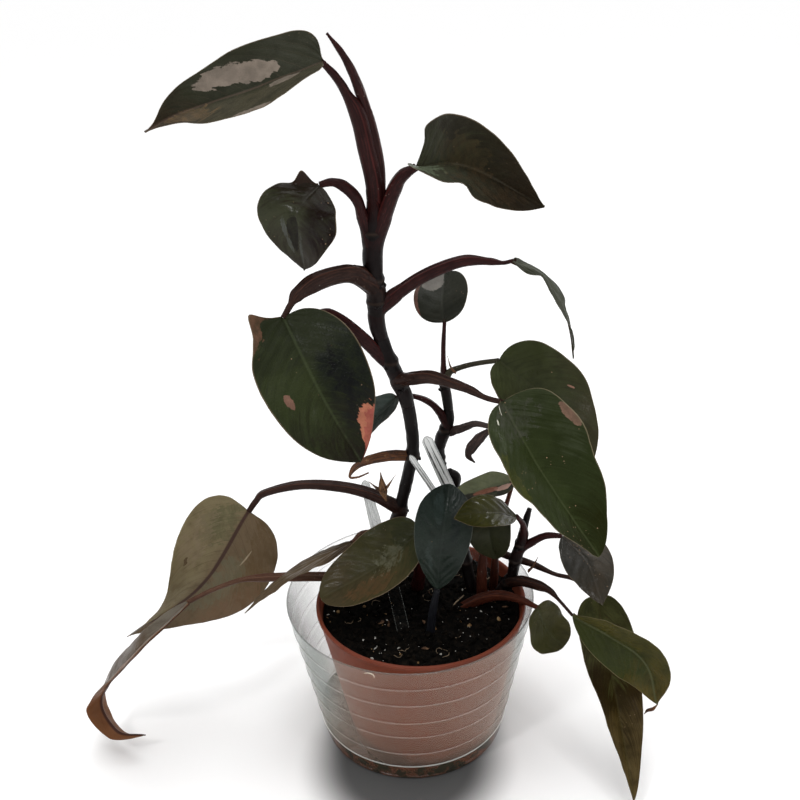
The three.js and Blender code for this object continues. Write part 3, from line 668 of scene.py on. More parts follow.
class BladeSkin(Shader):
    """Material of one blade, drawn along its own veins."""

    def __init__(self, name: str, look: LeafLook, veins: int) -> None:
        """Lay out the patterns that the two sides of the blade share.

        Args:
            name: Name of the material.
            look: The blade's colours and gloss.
            veins: Number of side veins on each half.
        """
        super().__init__(name)
        self.look = look
        self.ground, self.along, self.across = self.place(), self.layer("along"), self.layer("across")
        self.out = abs(self.across)  # distance from the midrib as a share of the half width
        self.off = self.out * self.layer("half")  # and in millimetres
        self.broad = self.noise(self.ground, scale=26.0, rough=0.55)  # slow changes of tone
        self.mottle = self.noise(self.ground, scale=110.0, detail=5.0, rough=0.62)  # and fine ones
        cycle = (self.along - self.out**GRAIN.vein_bow * GRAIN.vein_sweep) * float(veins)
        strip = self.plane(cycle * 2.6, self.across * 1.6)
        self.teeth = self.noise(strip, scale=1.0, detail=4.0, rough=0.65) - 0.5  # streaks along the veins
        apart = self.math("PINGPONG", cycle + self.rise(self.broad, 0.3, 0.7, start=-0.12, end=0.12), 0.5)
        width = self.rise(self.out, 0.0, 1.0, start=0.055, end=0.022)
        self.veins = self.rise(apart / width, 1.0, 0.2)
        cells = self.cells(self.ground, scale=520.0, feature="DISTANCE_TO_EDGE")
        self.net = self.rise(cells, 0.1, 0.0, end=0.16)  # fine net between the side veins

    def mask(self, patch: Patch) -> Signal:
        """How much of a patch's colour shows, from 0 to 1, with the streaks notching its edge.

        Args:
            patch: The patch.

        Returns:
            Its share at each point.
        """
        keys = {
            "Vector": self.plane(self.along, self.across),
            "Location": (*patch.middle, 0.0),
            "Rotation": (0.0, 0.0, math.radians(patch.turn)),
            "Scale": (*patch.radii, 1.0),
        }
        local = self.add("Mapping", keys, vector_type="TEXTURE")
        wander = self.noise(self.ground, scale=160.0, detail=5.0, rough=0.65) - 0.5
        edge = self.reach(local) + wander * (patch.ragged * 9) + self.teeth * (patch.ragged * 9)
        streak = self.noise(self.drawn_out(self.ground, 0.35), scale=260.0, detail=4.0, rough=0.7)
        thin = self.rise(streak, 0.35, 0.62, start=1.0 - patch.streaks)
        return self.rise(edge, 1.03, 0.97) * thin * patch.cover

    def upper(self) -> Signal:
        """Draw the upper side.

        Returns:
            The colour at each point.
        """
        look = self.look
        wander = self.rise(self.broad, 0.25, 0.75, start=-0.22, end=0.22) + self.teeth * 0.9
        edge = self.out + wander
        # one half takes the flank colour: partly the leaf's own tone, partly painted shade
        if look.flank_on:
            half = self.across * float(look.flank_on)
            edge = self.rise(half + wander * 0.6, -0.12, 0.42, start=0.2)
        colour = self.blend(self.rise(edge, 0.25, 0.95), look.body, look.flank)
        far = self.along + wander
        colour = self.blend(self.rise(far, 0.5, 1.0), colour, look.tip)
        if look.base is not None:
            colour = self.blend(self.rise(far, 0.42, 0.1), colour, look.base)
        shade = toned(look.body, 0.55)
        colour = self.blend(self.rise(self.mottle, 0.42, 0.72, end=0.55), colour, shade)
        colour = self.blend(self.rise(self.broad, 0.55, 0.8, end=0.45), colour, toned(look.body, 1.5))
        colour = self.blend(self.rise(self.teeth, 0.02, 0.22, end=0.55), colour, shade)
        rib = self.rise(self.off, 1.1, 0.35)
        for line, share in ((self.net, 1.0), (self.veins, 0.45), (rib, 1.5)):
            colour = self.blend(line * min(1.0, look.veins * share), colour, look.vein)
        for patch in look.patches:
            cloudy = self.rise(self.mottle, 0.4, 0.65)
            tint = self.blend(cloudy, patch.colour, toned(patch.colour, 1.35))
            colour = self.blend(self.mask(patch), colour, tint)
        dots = self.rise(self.cells(self.ground, scale=330.0), 0.13, 0.07)
        rare = self.rise(self.noise(self.ground, scale=47.0, detail=1.0), 0.56, 0.66)
        colour = self.blend(dots * rare * look.flecks, colour, Tone.LEAF_FLECK)
        return self.blend(self.rise(self.out, 0.972, 0.995, end=0.75), colour, look.rim)

    def lower(self) -> Signal:
        """Draw the lower side.

        Returns:
            The colour at each point.
        """
        look = self.look
        colour = look.under
        if look.under_flank is not None:
            half = self.rise(self.across * float(look.flank_on), -0.1, 0.3)
            colour = self.blend(half, look.under, look.under_flank)
        dark = toned(look.under, 0.6)
        colour = self.blend(self.rise(self.mottle, 0.45, 0.75, end=0.45), colour, dark)
        colour = self.blend(self.veins * 0.35, colour, look.vein)
        colour = self.blend(self.rise(self.teeth, 0.0, 0.2, end=0.35), colour, dark)
        for patch in look.under_patches:
            colour = self.blend(self.mask(patch), colour, patch.colour)
        return self.blend(self.rise(self.off, 1.9, 0.8, end=0.9), colour, Tone.RIB_BELOW)

    def finish(self) -> None:
        """Join the two sides, and set the gloss and the fine relief."""
        look, under = self.look, self.layer("under")
        colour = self.blend(under, self.upper(), self.lower())
        # a pale bluish sheen painted on the upper side
        painted_sheen_mask = self.rise(self.broad, 0.35, 0.7, end=look.painted_sheen) * (1.0 - under)
        colour = self.blend(painted_sheen_mask, colour, Tone.PAINTED_SHEEN_BLUE)
        rough = self.rise(self.mottle, 0.3, 0.75, start=look.gloss * 0.8, end=look.gloss * 1.4)
        rough = rough + self.rise(self.broad, 0.3, 0.7, start=look.gloss * 0.3, end=look.gloss * -0.2)
        fine = self.noise(self.ground, scale=1500.0, detail=2.0) * 0.25
        height = self.noise(self.ground, scale=210.0) + fine - self.net * 2.0
        self.relief(height, strength=0.3, distance=0.0005)
        self.dress(Base_Color=colour, Roughness=rough, Specular_IOR_Level=look.shine)


MAROON_STALK = StalkFinish("maroon_stalk", Tone.MAROON, Tone.MAROON_LIGHT)
BROWN_STALK = StalkFinish("brown_stalk", (0.02, 0.008, 0.0055), (0.07, 0.028, 0.018))
RUSTY_STALK = StalkFinish("rusty_stalk", (0.05, 0.012, 0.0062), (0.115, 0.034, 0.016), gloss=0.42)
TAN_STALK = StalkFinish("tan_stalk", (0.07, 0.03, 0.018), (0.16, 0.095, 0.062), gloss=0.45)
OLIVE_STALK = StalkFinish("olive_stalk", (0.028, 0.024, 0.014), (0.06, 0.052, 0.034))
BLUE_STALK = StalkFinish("blue_stalk", (0.006, 0.0065, 0.0085), (0.02, 0.021, 0.026), gloss=0.32)
SPIKE_SKIN = StalkFinish("spike_skin", (0.017, 0.0042, 0.0038), (0.075, 0.017, 0.014), gloss=0.3)
STEM_BARK = StalkFinish("stem_bark", Tone.BARK_BLACK, (0.012, 0.0068, 0.006), ring=Tone.RING_TAN)


# ------------------------ leaves


@dataclass(frozen=True)
class Ear:
    """A stretch of margin that stands out: its side, place along the blade, spread and reach.

    It reaches `out` from the midrib, `up` towards the blade's upper side and `back` to the petiole.
    """

    side: Half
    at: float
    spread: float
    out: float
    up: float = 0.0
    back: float = 0.0


@dataclass(frozen=True)
class BladeGrain:
    """Thickness, relief and fineness that all blades share."""

    rows: int = 84
    columns: int = 44
    crowding: float = 0.35  # how far the columns crowd towards the margins
    thick: float = 0.55
    thick_rim: float = 0.22
    tip_half: float = 0.35
    groove: float = 0.45  # depth of the midrib's furrow above
    groove_half: float = 1.0
    keel: float = 1.3  # height of the midrib below
    keel_half: float = 1.5
    vein_spacing: float = 8.5  # between two side veins at the midrib
    vein_sweep: float = 0.3  # how far a side vein runs ahead on its way to the margin
    vein_bow: float = 1.35
    quilt: float = 0.26  # rise of the blade between two side veins
    ripple: float = 0.45  # small waves of the margin
    ripple_fine: float = 0.16
    swell: float = 0.7  # slow unevenness of the whole blade
    swell_fine: float = 0.055


GRAIN = BladeGrain()


@dataclass(frozen=True)
class Clasp:
    """How the foot of a sheath clasps the stem that it grows from."""

    near: float = 8.0  # a petiole that starts further from a stem doesn't clasp it
    lowest: float = 110.0  # nor does one that starts lower than this
    drop: float = 20.0  # how far down the stem the foot starts
    merge: Pair = (7.0, 15.0)  # where along the petiole it runs into it
    over: tuple[float, ...] = (0.15, 0.55, 0.5, 0.35, -0.1)  # how far it stands out at its points


CLASP = Clasp()


@dataclass(frozen=True)
class Leaf:
    """A leaf: its petiole and its blade.

    The blade runs along `midrib` with its upper side towards `face`, and turns by `twist` degrees
    on the way. `shoulder` and `point` shape its outline, `fold` and `cup` lift its halves,
    `lobe` draws its shoulders back past the petiole, and `wave` is the height, number and phase
    of its margin's waves. `crumple` multiplies the unevenness that all blades share.
    """

    name: str
    look: LeafLook
    stalk: StalkFinish
    midrib: tuple[Point, ...]
    face: Point
    twist: float
    width: float
    shoulder: float
    point: float
    fold: float
    cup: float
    lobe: float
    wave: tuple[float, float, float]
    petiole: Limb
    ears: tuple[Ear, ...] = ()
    crumple: float = 1.0

    def share(self, u: float) -> float:
        """Half width as a share of the widest.

        Args:
            u: Place along the blade.

        Returns:
            The share, from 0 to 1.
        """
        widest = self.shoulder / (self.shoulder + self.point)
        peak = widest**self.shoulder * (1 - widest) ** self.point
        return (max(u, 0.0) ** self.shoulder * max(1 - u, 0.0) ** self.point) / peak

    def half_width(self, u: float) -> float:
        """Half width at u."""
        return max(self.width / 2 * self.share(u), GRAIN.tip_half)

    def veins(self) -> int:
        """Number of side veins on each half."""
        return max(5, round(Line(self.midrib).length() / GRAIN.vein_spacing))

    def skin_point(self, station: Station, v: float) -> Vector:
        """Point of the blade's middle surface.

        Args:
            station: Frame on the midrib.
            v: Place across, from -1 to 1.

        Returns:
            The point.
        """
        sign = -1 if v < 0 else 1
        reach = abs(v)
        share = self.share(station.t)
        bend = math.radians(self.cup) * reach / 2
        chord = self.half_width(station.t) * reach * (math.sin(bend) / bend if abs(bend) > 1e-6 else 1.0)
        lean = math.radians(self.fold) + bend
        height, count, phase = self.wave
        cycle = count * station.t + phase + (0.3 if sign > 0 else 0.0)
        lift = height * reach**2 * math.sin(2 * math.pi * cycle) * min(1.0, share * 1.5)
        back = share * (1 - station.t) ** 3 * self.lobe * reach**1.5
        place = (
            station.origin
            + station.side * (chord * math.cos(lean) * sign)
            + station.normal * (chord * math.sin(lean) + lift)
            - station.tangent * back
        )
        for ear in self.ears:
            if ear.side == sign:
                pull = bell(station.t, ear.at, ear.spread) * reach**3
                place += station.side * (ear.out * sign * pull) + station.normal * (ear.up * pull)
                place -= station.tangent * (ear.back * pull)
        return place

    def relief(self, u: float, v: float, place: Vector) -> Pair:
        """Height of the blade's fine relief.

        Args:
            u: Place along the blade.
            v: Place across it.
            place: The point, which the slow unevenness follows.

        Returns:
            Rise of the middle surface, and of the lower skin alone.
        """
        reach = abs(v)
        half = self.half_width(u)
        fade = min(1.0, self.share(u) * 2) * (1 - u) ** 0.3
        cycle = (u - GRAIN.vein_sweep * reach**GRAIN.vein_bow) * self.veins()
        between_veins = 0.5 - 0.5 * math.cos(2 * math.pi * cycle)
        quilt = GRAIN.quilt * between_veins * fade * math.sin(math.pi * min(1.0, reach * 1.05)) ** 0.7
        furrow = -GRAIN.groove * bell(reach * half, 0.0, GRAIN.groove_half) * (1 - 0.6 * u)
        slow = GRAIN.swell * noise.noise(place * GRAIN.swell_fine) * min(1.0, half / 12)
        edge = GRAIN.ripple * noise.noise(place * GRAIN.ripple_fine) * reach**3 * min(1.0, half / 8)
        keel = GRAIN.keel * bell(reach * half, 0.0, GRAIN.keel_half) * (1 - 0.75 * u)
        return (quilt + slow + edge) * self.crumple + furrow, keel

    def build_blade(self) -> None:
        """Make the blade as one closed skin with the layers that its material reads."""
        rows, columns = GRAIN.rows, GRAIN.columns
        places = [(1 - math.cos(math.pi * i / rows)) / 2 for i in range(rows + 1)]
        stations = stations_along(Line(self.midrib), self.face, places)
        turned = []
        for station in stations:
            angle = math.radians(self.twist) * station.t
            normal = station.normal * math.cos(angle) + station.side * math.sin(angle)
            turned.append(replace(station, normal=normal, side=station.tangent.cross(normal)))
        even = [2 * j / columns - 1 for j in range(columns + 1)]
        crowding = GRAIN.crowding
        reaches = [math.sin(math.pi / 2 * v) * crowding + v * (1 - crowding) for v in even]
        base = [[self.skin_point(station, v) for v in reaches] for station in turned]

        bm = bmesh.new()
        bmesh.ops.create_grid(bm, x_segments=rows, y_segments=columns, size=1.0)
        bmesh.ops.solidify(bm, geom=bm.faces[:], thickness=0.1)
        names = ("along", "across", "under", "half")
        layers = {name: bm.verts.layers.float.new(name) for name in names}
        middle = sum(vert.co.z for vert in bm.verts) / len(bm.verts)
        for vert in bm.verts:
            i = round((vert.co.x + 1) / 2 * rows)
            j = round((vert.co.y + 1) / 2 * columns)
            down = vert.co.z < middle
            along = base[min(i + 1, rows)][j] - base[max(i - 1, 0)][j]
            over = base[i][min(j + 1, columns)] - base[i][max(j - 1, 0)]
            normal = -along.cross(over).normalized()
            u, v = turned[i].t, reaches[j]
            rise, keel = self.relief(u, v, base[i][j])
            thin = max(abs(v) ** 6, u**8)
            thick = GRAIN.thick + (GRAIN.thick_rim - GRAIN.thick) * thin
            lift = rise - thick / 2 - keel if down else rise + thick / 2
            vert.co = (base[i][j] + normal * lift) * MM
            for name, value in zip(names, (u, v, float(down), self.half_width(u))):
                vert[layers[name]] = value
        skin = BladeSkin(f"{self.name}_skin", self.look, self.veins())
        skin.finish()
        piece = new_piece(f"{self.name}_fine_blade", bm, skin.material.name)
        settle(piece, f"{self.name}_blade")

    def clasp(self, stems: Sequence["Stem"]) -> Limb | None:
        """Foot of the sheath, where the petiole clasps the stem that it grows from.

        Args:
            stems: The plant's stems.

        Returns:
            A limb that leaves the stem and runs into the petiole, or None where no stem is near.
        """
        start = Vector(self.petiole.path[0])
        for stem in stems:
            line = Line(stem.limb.path)
            t = line.where_least(lambda point: (point - start).length)
            if (line.at(t) - start).length > CLASP.near or start.z < CLASP.lowest:
                continue
            low = max(t - CLASP.drop / line.length(), 0.0)
            middle = (low + t) / 2
            girth = [between(stem.limb.sizes, spot) for spot in (low, middle, t)]
            arm = Line(self.petiole.path)
            near, far = (way / arm.length() for way in CLASP.merge)
            path = [line.at(low), line.at(middle), (line.at(t) + start) / 2, arm.at(near), arm.at(far)]
            foot, neck, end = (between(self.petiole.sizes, spot) for spot in (0, near, far))
            widths = (girth[0], girth[1], max(girth[2], foot), neck, end)
            sizes = tuple(width + over for width, over in zip(widths, CLASP.over))
            return Limb(tuple(tuple(place) for place in path), sizes, self.petiole.up)
        return None

    def clasp_section(self, foot: Limb, t: float, angle: float) -> Pair:
        """Point of the clasping foot's skin: round on the stem, as flat as the petiole at its end.

        Args:
            foot: The clasping foot.
            t: Place along it.
            angle: Angle round it.

        Returns:
            Distance across and height.
        """
        share = min(max((t - 0.35) / 0.5, 0.0), 1.0)
        flat = 1.0 + (self.petiole.flat * 0.93 - 1.0) * share
        high = between(foot.sizes, t) * (1 - 0.25 * max(0.0, (t - 0.85) / 0.15))
        return math.cos(angle) * high * flat, math.sin(angle) * high

    def build_petiole(self) -> None:
        """Make the petiole with its channel and its clasping foot."""
        bm = self.petiole.build()
        foot = self.clasp(STEMS)
        if foot is not None:
            sheath = foot.build(30, 0.9, lambda t, angle: self.clasp_section(foot, t, angle))
            depth = sheath.verts.layers.float.new("foot")
            along = sheath.verts.layers.float["along"]
            for vert in sheath.verts:
                vert[depth] = 1 - vert[along]
            add_mesh(bm, sheath)
        piece = new_piece(f"{self.name}_fine_petiole", bm, self.stalk.name)
        settle(piece, f"{self.name}_petiole")


LEAVES: tuple[Leaf, ...] = (
    Leaf(
        "leaf_01",
        LeafLook(
            body=(0.0195, 0.0205, 0.0105), flank=(0.038, 0.034, 0.019), tip=(0.031, 0.021, 0.012),
            vein=(0.08, 0.05, 0.036), under=(0.1, 0.075, 0.045), gloss=0.46, shine=0.09, flank_on=Half.LEFT,
            patches=(
                Patch(Tone.GREY_PINK, (0.27, 0.36), (0.1, 0.27), turn=-14, ragged=0.12, streaks=0.12),
                Patch(Tone.GREY_PINK, (0.41, 0.55), (0.11, 0.29), turn=-10, ragged=0.12, streaks=0.12),
                Patch(Tone.GREY_PINK, (0.15, -0.2), (0.06, 0.13), ragged=0.1, cover=0.7, streaks=0.3),
                Patch(Tone.GREY_PINK, (0.3, -0.95), (0.08, 0.09), ragged=0.08),
                Patch((0.098, 0.062, 0.03), (0.64, -0.42), (0.17, 0.4), cover=0.6, streaks=0.6),
            ),
        ),
        MAROON_STALK, midrib=((-36, -5, 443), (-80, -5, 429), (-112, -13, 421), (-123, -42, 418)),
        face=(-0.29, -0.41, 0.86), twist=-42, width=57, shoulder=0.36, point=1.66, fold=19, cup=6, lobe=5,
        wave=(0.8, 3, 0), ears=(Ear(Half.RIGHT, 0.22, 0.2, -3.6, -0.6),),
        petiole=Limb(
            path=(
                (-13, 8, 361), (-14, 8, 378), (-17, 6, 395), (-20, 3, 412), (-25, 0, 427), (-30, -3, 436),
                (-36, -5, 443),
            ),
            sizes=(3.2, 3.4, 3.4, 3.2, 2.6, 2.2, 1.6), up=(1, 0, 0), wing=0.85,
        ),
    ),
    Leaf(
        "leaf_02",
        LeafLook(
            body=(0.021, 0.018, 0.01), flank=(0.03, 0.031, 0.02), tip=(0.022, 0.015, 0.009),
            base=(0.032, 0.034, 0.018), vein=(0.04, 0.034, 0.018), gloss=0.36, flank_on=Half.RIGHT,
            veins=0.22,
            patches=(
                Patch((0.075, 0.092, 0.058), (0.12, 0.62), (0.24, 0.5), ragged=0.14, cover=0.8),
                Patch((0.05, 0.036, 0.016), (0.42, -0.25), (0.2, 0.34), ragged=0.24, cover=0.45, streaks=0.8),
                Patch((0.048, 0.03, 0.016), (0.66, 0.4), (0.2, 0.4), ragged=0.24, cover=0.4, streaks=0.8),
            ),
        ),
        MAROON_STALK, midrib=((11, 2, 386), (38, -20, 390), (79, -19, 367)), face=(-0.33, -0.21, 0.92),
        twist=71, width=54, shoulder=0.59, point=0.95, fold=36, cup=22, lobe=-8, wave=(1, 2, 0.2),
        ears=(Ear(Half.LEFT, 0.15, 0.085, 0, back=5), Ear(Half.RIGHT, 0.52, 0.045, -4)),
        petiole=Limb(
            path=((-12, 8, 345), (-7, 7, 361), (-2, 6, 373), (3, 4, 381), (11, 2, 386)),
            sizes=(4.8, 5.2, 4.9, 3.9, 2.3), up=(-1, 0, 1), groove=0.3,
        ),
    ),
    Leaf(
        "leaf_03",
        LeafLook(
            body=(0.037, 0.039, 0.022), flank=(0.008, 0.004, 0.0034), tip=(0.026, 0.021, 0.015),
            base=(0.016, 0.011, 0.007), vein=(0.04, 0.038, 0.03), gloss=0.13, shine=0.07, flank_on=Half.LEFT,
            veins=0.2, flecks=0.8,
            patches=(
                Patch((0.026, 0.014, 0.0095), (0.08, 0.95), (0.1, 0.3), ragged=0.1, cover=0.8, streaks=0.1),
                # the second patch is shade painted in a fold, the third and fourth are painted highlight
                # streaks
                Patch((0.006, 0.0045, 0.004), (0.66, 0.1), (0.17, 0.13), turn=12, ragged=0.12, cover=0.85),
                Patch((0.075, 0.08, 0.072), (0.7, 0.3), (0.15, 0.06), turn=-12, ragged=0.22, cover=0.7,
                      streaks=0.8),
                Patch((0.06, 0.066, 0.06), (0.8, -0.06), (0.13, 0.07), turn=8, ragged=0.22, cover=0.6,
                      streaks=0.8),
            ),
        ),
        MAROON_STALK, midrib=((-42, -2, 379), (-54, -18, 367), (-53, -11, 334)), face=(-0.09, -0.52, 0.85),
        twist=-2, width=50, shoulder=1.08, point=0.9, fold=5, cup=-6, lobe=7, wave=(1.5, 2, 0.4),
        ears=(
            Ear(Half.RIGHT, 0.1, 0.055, 1.0, 9.5), Ear(Half.RIGHT, 0.78, 0.16, -4.5),
            Ear(Half.LEFT, 0.8, 0.12, -2.0),
        ),
        crumple=1.5,
        petiole=Limb(
            path=((-15, 8, 342), (-20, 6, 360), (-23, 3, 370), (-29, 1, 377), (-35, -1, 380), (-42, -2, 379)),
            sizes=(3.2, 3.4, 3.6, 3.4, 2.4, 1.9), up=(-1, 0, 0.5), groove=0.5,
        ),
    ),
    Leaf(
        "leaf_04",
        LeafLook(
            body=(0.038, 0.041, 0.025), flank=(0.022, 0.023, 0.013), tip=(0.014, 0.015, 0.008),
            vein=(0.085, 0.088, 0.06), under=(0.04, 0.039, 0.024), gloss=0.5, shine=0.02,
            rim=(0.1, 0.095, 0.06),
        ),
        MAROON_STALK, midrib=((66, 8, 329), (84, 5, 320), (96, -6, 300), (102, -1, 270)),
        face=(0.51, 0.09, 0.86), twist=-7, width=50, shoulder=0.62, point=0.98, fold=-2, cup=3, lobe=4,
        wave=(1.2, 2.5, 0.1),
        petiole=Limb(
            path=(
                (-13, 6, 302), (2, 7, 315), (18, 8, 324), (37, 9, 330), (52, 9, 329), (60, 8, 328),
                (66, 8, 329),
            ),
            sizes=(4.2, 4.6, 4.5, 4.1, 2.6, 1.4, 1.3), flat=0.75, groove=0.55,
        ),
    ),
    Leaf(
        "leaf_05",
        LeafLook(
            body=(0.024, 0.03, 0.0105), flank=(0.007, 0.008, 0.0068), tip=(0.0085, 0.006, 0.003),
            base=(0.015, 0.018, 0.008), vein=(0.052, 0.066, 0.03), gloss=0.25, shine=0.05, flank_on=Half.LEFT,
            veins=0.24, painted_sheen=0.03, flecks=0.8,
            patches=(
                # shadow painted as a dark diagonal across the blade
                Patch((0.0042, 0.0038, 0.0045), (0.46, -0.5), (0.16, 0.2), turn=35, ragged=0.22, cover=0.75,
                      streaks=0.7),
                Patch((0.0085, 0.006, 0.0035), (0.86, 0.5), (0.2, 0.62), cover=0.65, streaks=0.6),
                Patch((0.35, 0.128, 0.076), (0.79, -0.86), (0.135, 0.34), turn=12, ragged=0.12, streaks=0.2),
                Patch((0.23, 0.052, 0.044), (0.83, -0.97), (0.145, 0.27), turn=6, ragged=0.16, cover=0.85,
                      streaks=0.5),
                Patch((0.15, 0.078, 0.056), (0.43, 0.62), (0.042, 0.07), ragged=0.15, streaks=0.1),
                Patch((0.088, 0.044, 0.027), (0.085, 0.97), (0.095, 0.18), cover=0.85, streaks=0.5),
            ),
        ),
        BROWN_STALK, midrib=((-64, -35, 315), (-43, -60, 277), (-25, -59, 237)), face=(0.14, -0.79, 0.59),
        twist=-1, width=62, shoulder=0.5, point=0.88, fold=15, cup=3, lobe=6, wave=(0.8, 3, 0.5),
        ears=(Ear(Half.RIGHT, 0.045, 0.03, 2, 3, back=9), Ear(Half.RIGHT, 0.16, 0.05, -1.5)),
        petiole=Limb(
            path=(
                (-14, 6, 316), (-24, -2, 328), (-34, -10, 331), (-47, -20, 330), (-56, -28, 326),
                (-60, -32, 321), (-64, -35, 315),
            ),
            sizes=(6, 6.6, 6.2, 6.4, 4.8, 2.2, 1.9), flat=0.6, groove=0.5,
        ),
    ),
    Leaf(
        "leaf_06",
        LeafLook(
            body=(0.018, 0.024, 0.011), flank=(0.013, 0.017, 0.008), tip=(0.018, 0.018, 0.009),
            vein=(0.045, 0.05, 0.03),
        ),
        MAROON_STALK, midrib=((-51, 2, 303), (-50, -2, 268), (-50, 0, 238)), face=(0.1, -0.98, 0.1), twist=3,
        width=40, shoulder=0.5, point=0.85, fold=14, cup=5, lobe=5, wave=(0.8, 2, 0.3),
        petiole=Limb(
            path=((-8, 5, 268), (-18, 3, 282), (-30, 1, 295), (-41, 2, 303), (-51, 2, 303)),
            sizes=(4, 5, 4.8, 3.6, 1.8), flat=0.6, groove=0.5,
        ),
    ),
    Leaf(
        "leaf_07",
        LeafLook(
            body=(0.025, 0.033, 0.011), flank=(0.019, 0.025, 0.0085), tip=(0.012, 0.013, 0.003),
            base=(0.032, 0.039, 0.019), vein=(0.054, 0.064, 0.03), shine=0.008, flank_on=Half.LEFT,
            rim=(0.19, 0.16, 0.1), flecks=0.8,
            patches=(
                # pale sheen painted near the petiole
                Patch((0.075, 0.07, 0.064), (0.1, 0.02), (0.13, 0.5), ragged=0.3, cover=0.3, streaks=0.9),
                Patch((0.017, 0.022, 0.0065), (0.42, 0.48), (0.24, 0.4), ragged=0.25, cover=0.6, streaks=0.6),
                Patch((0.04, 0.042, 0.009), (0.4, 0.95), (0.16, 0.22), cover=0.7, streaks=0.6),
                # two small glints painted near the petiole's joint
                Patch((0.72, 0.7, 0.6), (0.03, 0.34), (0.012, 0.04), turn=30, ragged=0.22, cover=0.9),
                Patch((0.55, 0.54, 0.45), (0.082, 0.56), (0.015, 0.03), ragged=0.25, cover=0.8),
                Patch((0.145, 0.084, 0.061), (0.26, -0.93), (0.085, 0.095), turn=16, ragged=0.08,
                      streaks=0.3),
            ),
        ),
        BROWN_STALK, midrib=((55, -40, 262), (79, -59, 221), (105, -86, 187)), face=(0.52, -0.62, 0.59),
        twist=-9, width=74, shoulder=0.35, point=0.66, fold=18, cup=5, lobe=1, wave=(1, 3, 0.2),
        petiole=Limb(
            path=(
                (-4, 4, 258), (6, -2, 262), (16, -8, 265), (27, -17, 265), (38, -26, 264), (46, -33, 262),
                (55, -40, 262),
            ),
            sizes=(4.2, 5, 4.8, 3.8, 3, 1.9, 1.7), flat=0.65, groove=0.5,
        ),
    ),
    Leaf(
        "leaf_08",
        LeafLook(
            body=(0.03, 0.034, 0.012), flank=(0.03, 0.03, 0.011), tip=(0.032, 0.026, 0.011),
            base=(0.038, 0.044, 0.016), vein=(0.05, 0.052, 0.028), gloss=0.32, veins=0.25, painted_sheen=0.04,
            flecks=0.8,
            patches=(
                Patch((0.2, 0.105, 0.075), (0.51, -0.63), (0.009, 0.055), turn=20, ragged=0.05, streaks=0.0),
            ),
        ),
        OLIVE_STALK, midrib=((59, 14, 264), (89, 2, 239), (113, -11, 199)), face=(0.31, -0.68, 0.66), twist=2,
        width=57, shoulder=0.51, point=0.74, fold=15, cup=2, lobe=8, wave=(0.8, 3, 0.7),
        petiole=Limb(
            path=((26, 28, 243), (29, 27, 251), (37, 24, 256), (47, 20, 260), (59, 14, 264)),
            sizes=(2.4, 2.2, 1.7, 1.6, 1.5),
        ),
    ),
    Leaf(
        "leaf_09",
        LeafLook(
            body=(0.021, 0.021, 0.015), flank=(0.019, 0.019, 0.013), tip=(0.022, 0.022, 0.016),
            vein=(0.04, 0.042, 0.032), gloss=0.32, veins=0.22, painted_sheen=0.1,
            patches=(
                Patch((0.15, 0.138, 0.122), (0.86, -0.45), (0.17, 0.42), ragged=0.07, cover=0.9, streaks=0.1),
                Patch((0.12, 0.055, 0.042), (0.6, -1.0), (0.3, 0.15), ragged=0.05, cover=0.8),
            ),
        ),
        MAROON_STALK, midrib=((27, 30, 284), (26, 37, 295), (29, 52, 309)), face=(-0.31, -0.82, 0.49),
        twist=-8, width=36, shoulder=0.67, point=0.44, fold=11, cup=-1, lobe=4, wave=(0.4, 2, 0),
        petiole=Limb(path=((26, 28, 244), (26, 29, 266), (27, 30, 284)), sizes=(2, 1.5, 1.2), up=(0, -1, 0)),
    ),
    Leaf(
        "leaf_10",
        LeafLook(
            body=(0.013, 0.017, 0.013), flank=(0.03, 0.042, 0.035), tip=(0.016, 0.021, 0.017),
            vein=(0.035, 0.042, 0.034), flank_on=Half.RIGHT, veins=0.25,
        ),
        MAROON_STALK, midrib=((-4, 22, 238), (-20, 13, 226), (-39, 5, 209)), face=(-0.49, -0.24, 0.84),
        twist=-10, width=27, shoulder=0.57, point=0.71, fold=14, cup=2, lobe=5, wave=(0.5, 2, 0.2),
        petiole=Limb(
            path=((28, 30, 212), (24, 29, 222), (17, 27, 231), (7, 24, 237), (-4, 22, 238)),
            sizes=(2.6, 3, 2.4, 1.8, 1.4), groove=0.3,
        ),
    ),
    Leaf(
        "leaf_11",
        LeafLook(
            body=(0.05, 0.048, 0.026), flank=(0.04, 0.036, 0.02), tip=(0.05, 0.038, 0.02),
            vein=(0.055, 0.03, 0.022), under=(0.115, 0.08, 0.045), under_flank=(0.185, 0.15, 0.08),
            gloss=0.42, flank_on=Half.LEFT, flecks=0.15,
            under_patches=(
                Patch((0.078, 0.047, 0.019), (0.2, 0.78), (0.24, 0.42), cover=0.75, streaks=0.5),
                Patch((0.105, 0.102, 0.062), (0.45, 0.3), (0.22, 0.24), ragged=0.25, cover=0.6, streaks=0.6),
                Patch((0.13, 0.072, 0.04), (0.5, 0.85), (0.18, 0.24), ragged=0.25, cover=0.5, streaks=0.6),
                Patch((0.072, 0.074, 0.034), (0.12, -0.4), (0.12, 0.34), ragged=0.25, cover=0.6, streaks=0.6),
                Patch((0.215, 0.16, 0.105), (0.27, -0.62), (0.16, 0.26), ragged=0.3, cover=0.45, streaks=0.8),
                Patch((0.05, 0.024, 0.012), (0.38, -0.66), (0.022, 0.035), ragged=0.25, cover=0.8),
                Patch((0.3, 0.24, 0.16), (0.23, 0.4), (0.065, 0.012), turn=-35, ragged=0.06, cover=0.8),
            ),
        ),
        BROWN_STALK, midrib=((-106, 28, 154), (-145, 25, 97), (-199, 17, 62)), face=(0.26, 0.94, -0.23),
        twist=-74, width=75, shoulder=0.36, point=1.03, fold=-13, cup=-20, lobe=13, wave=(1, 2, 0.6),
        petiole=Limb(
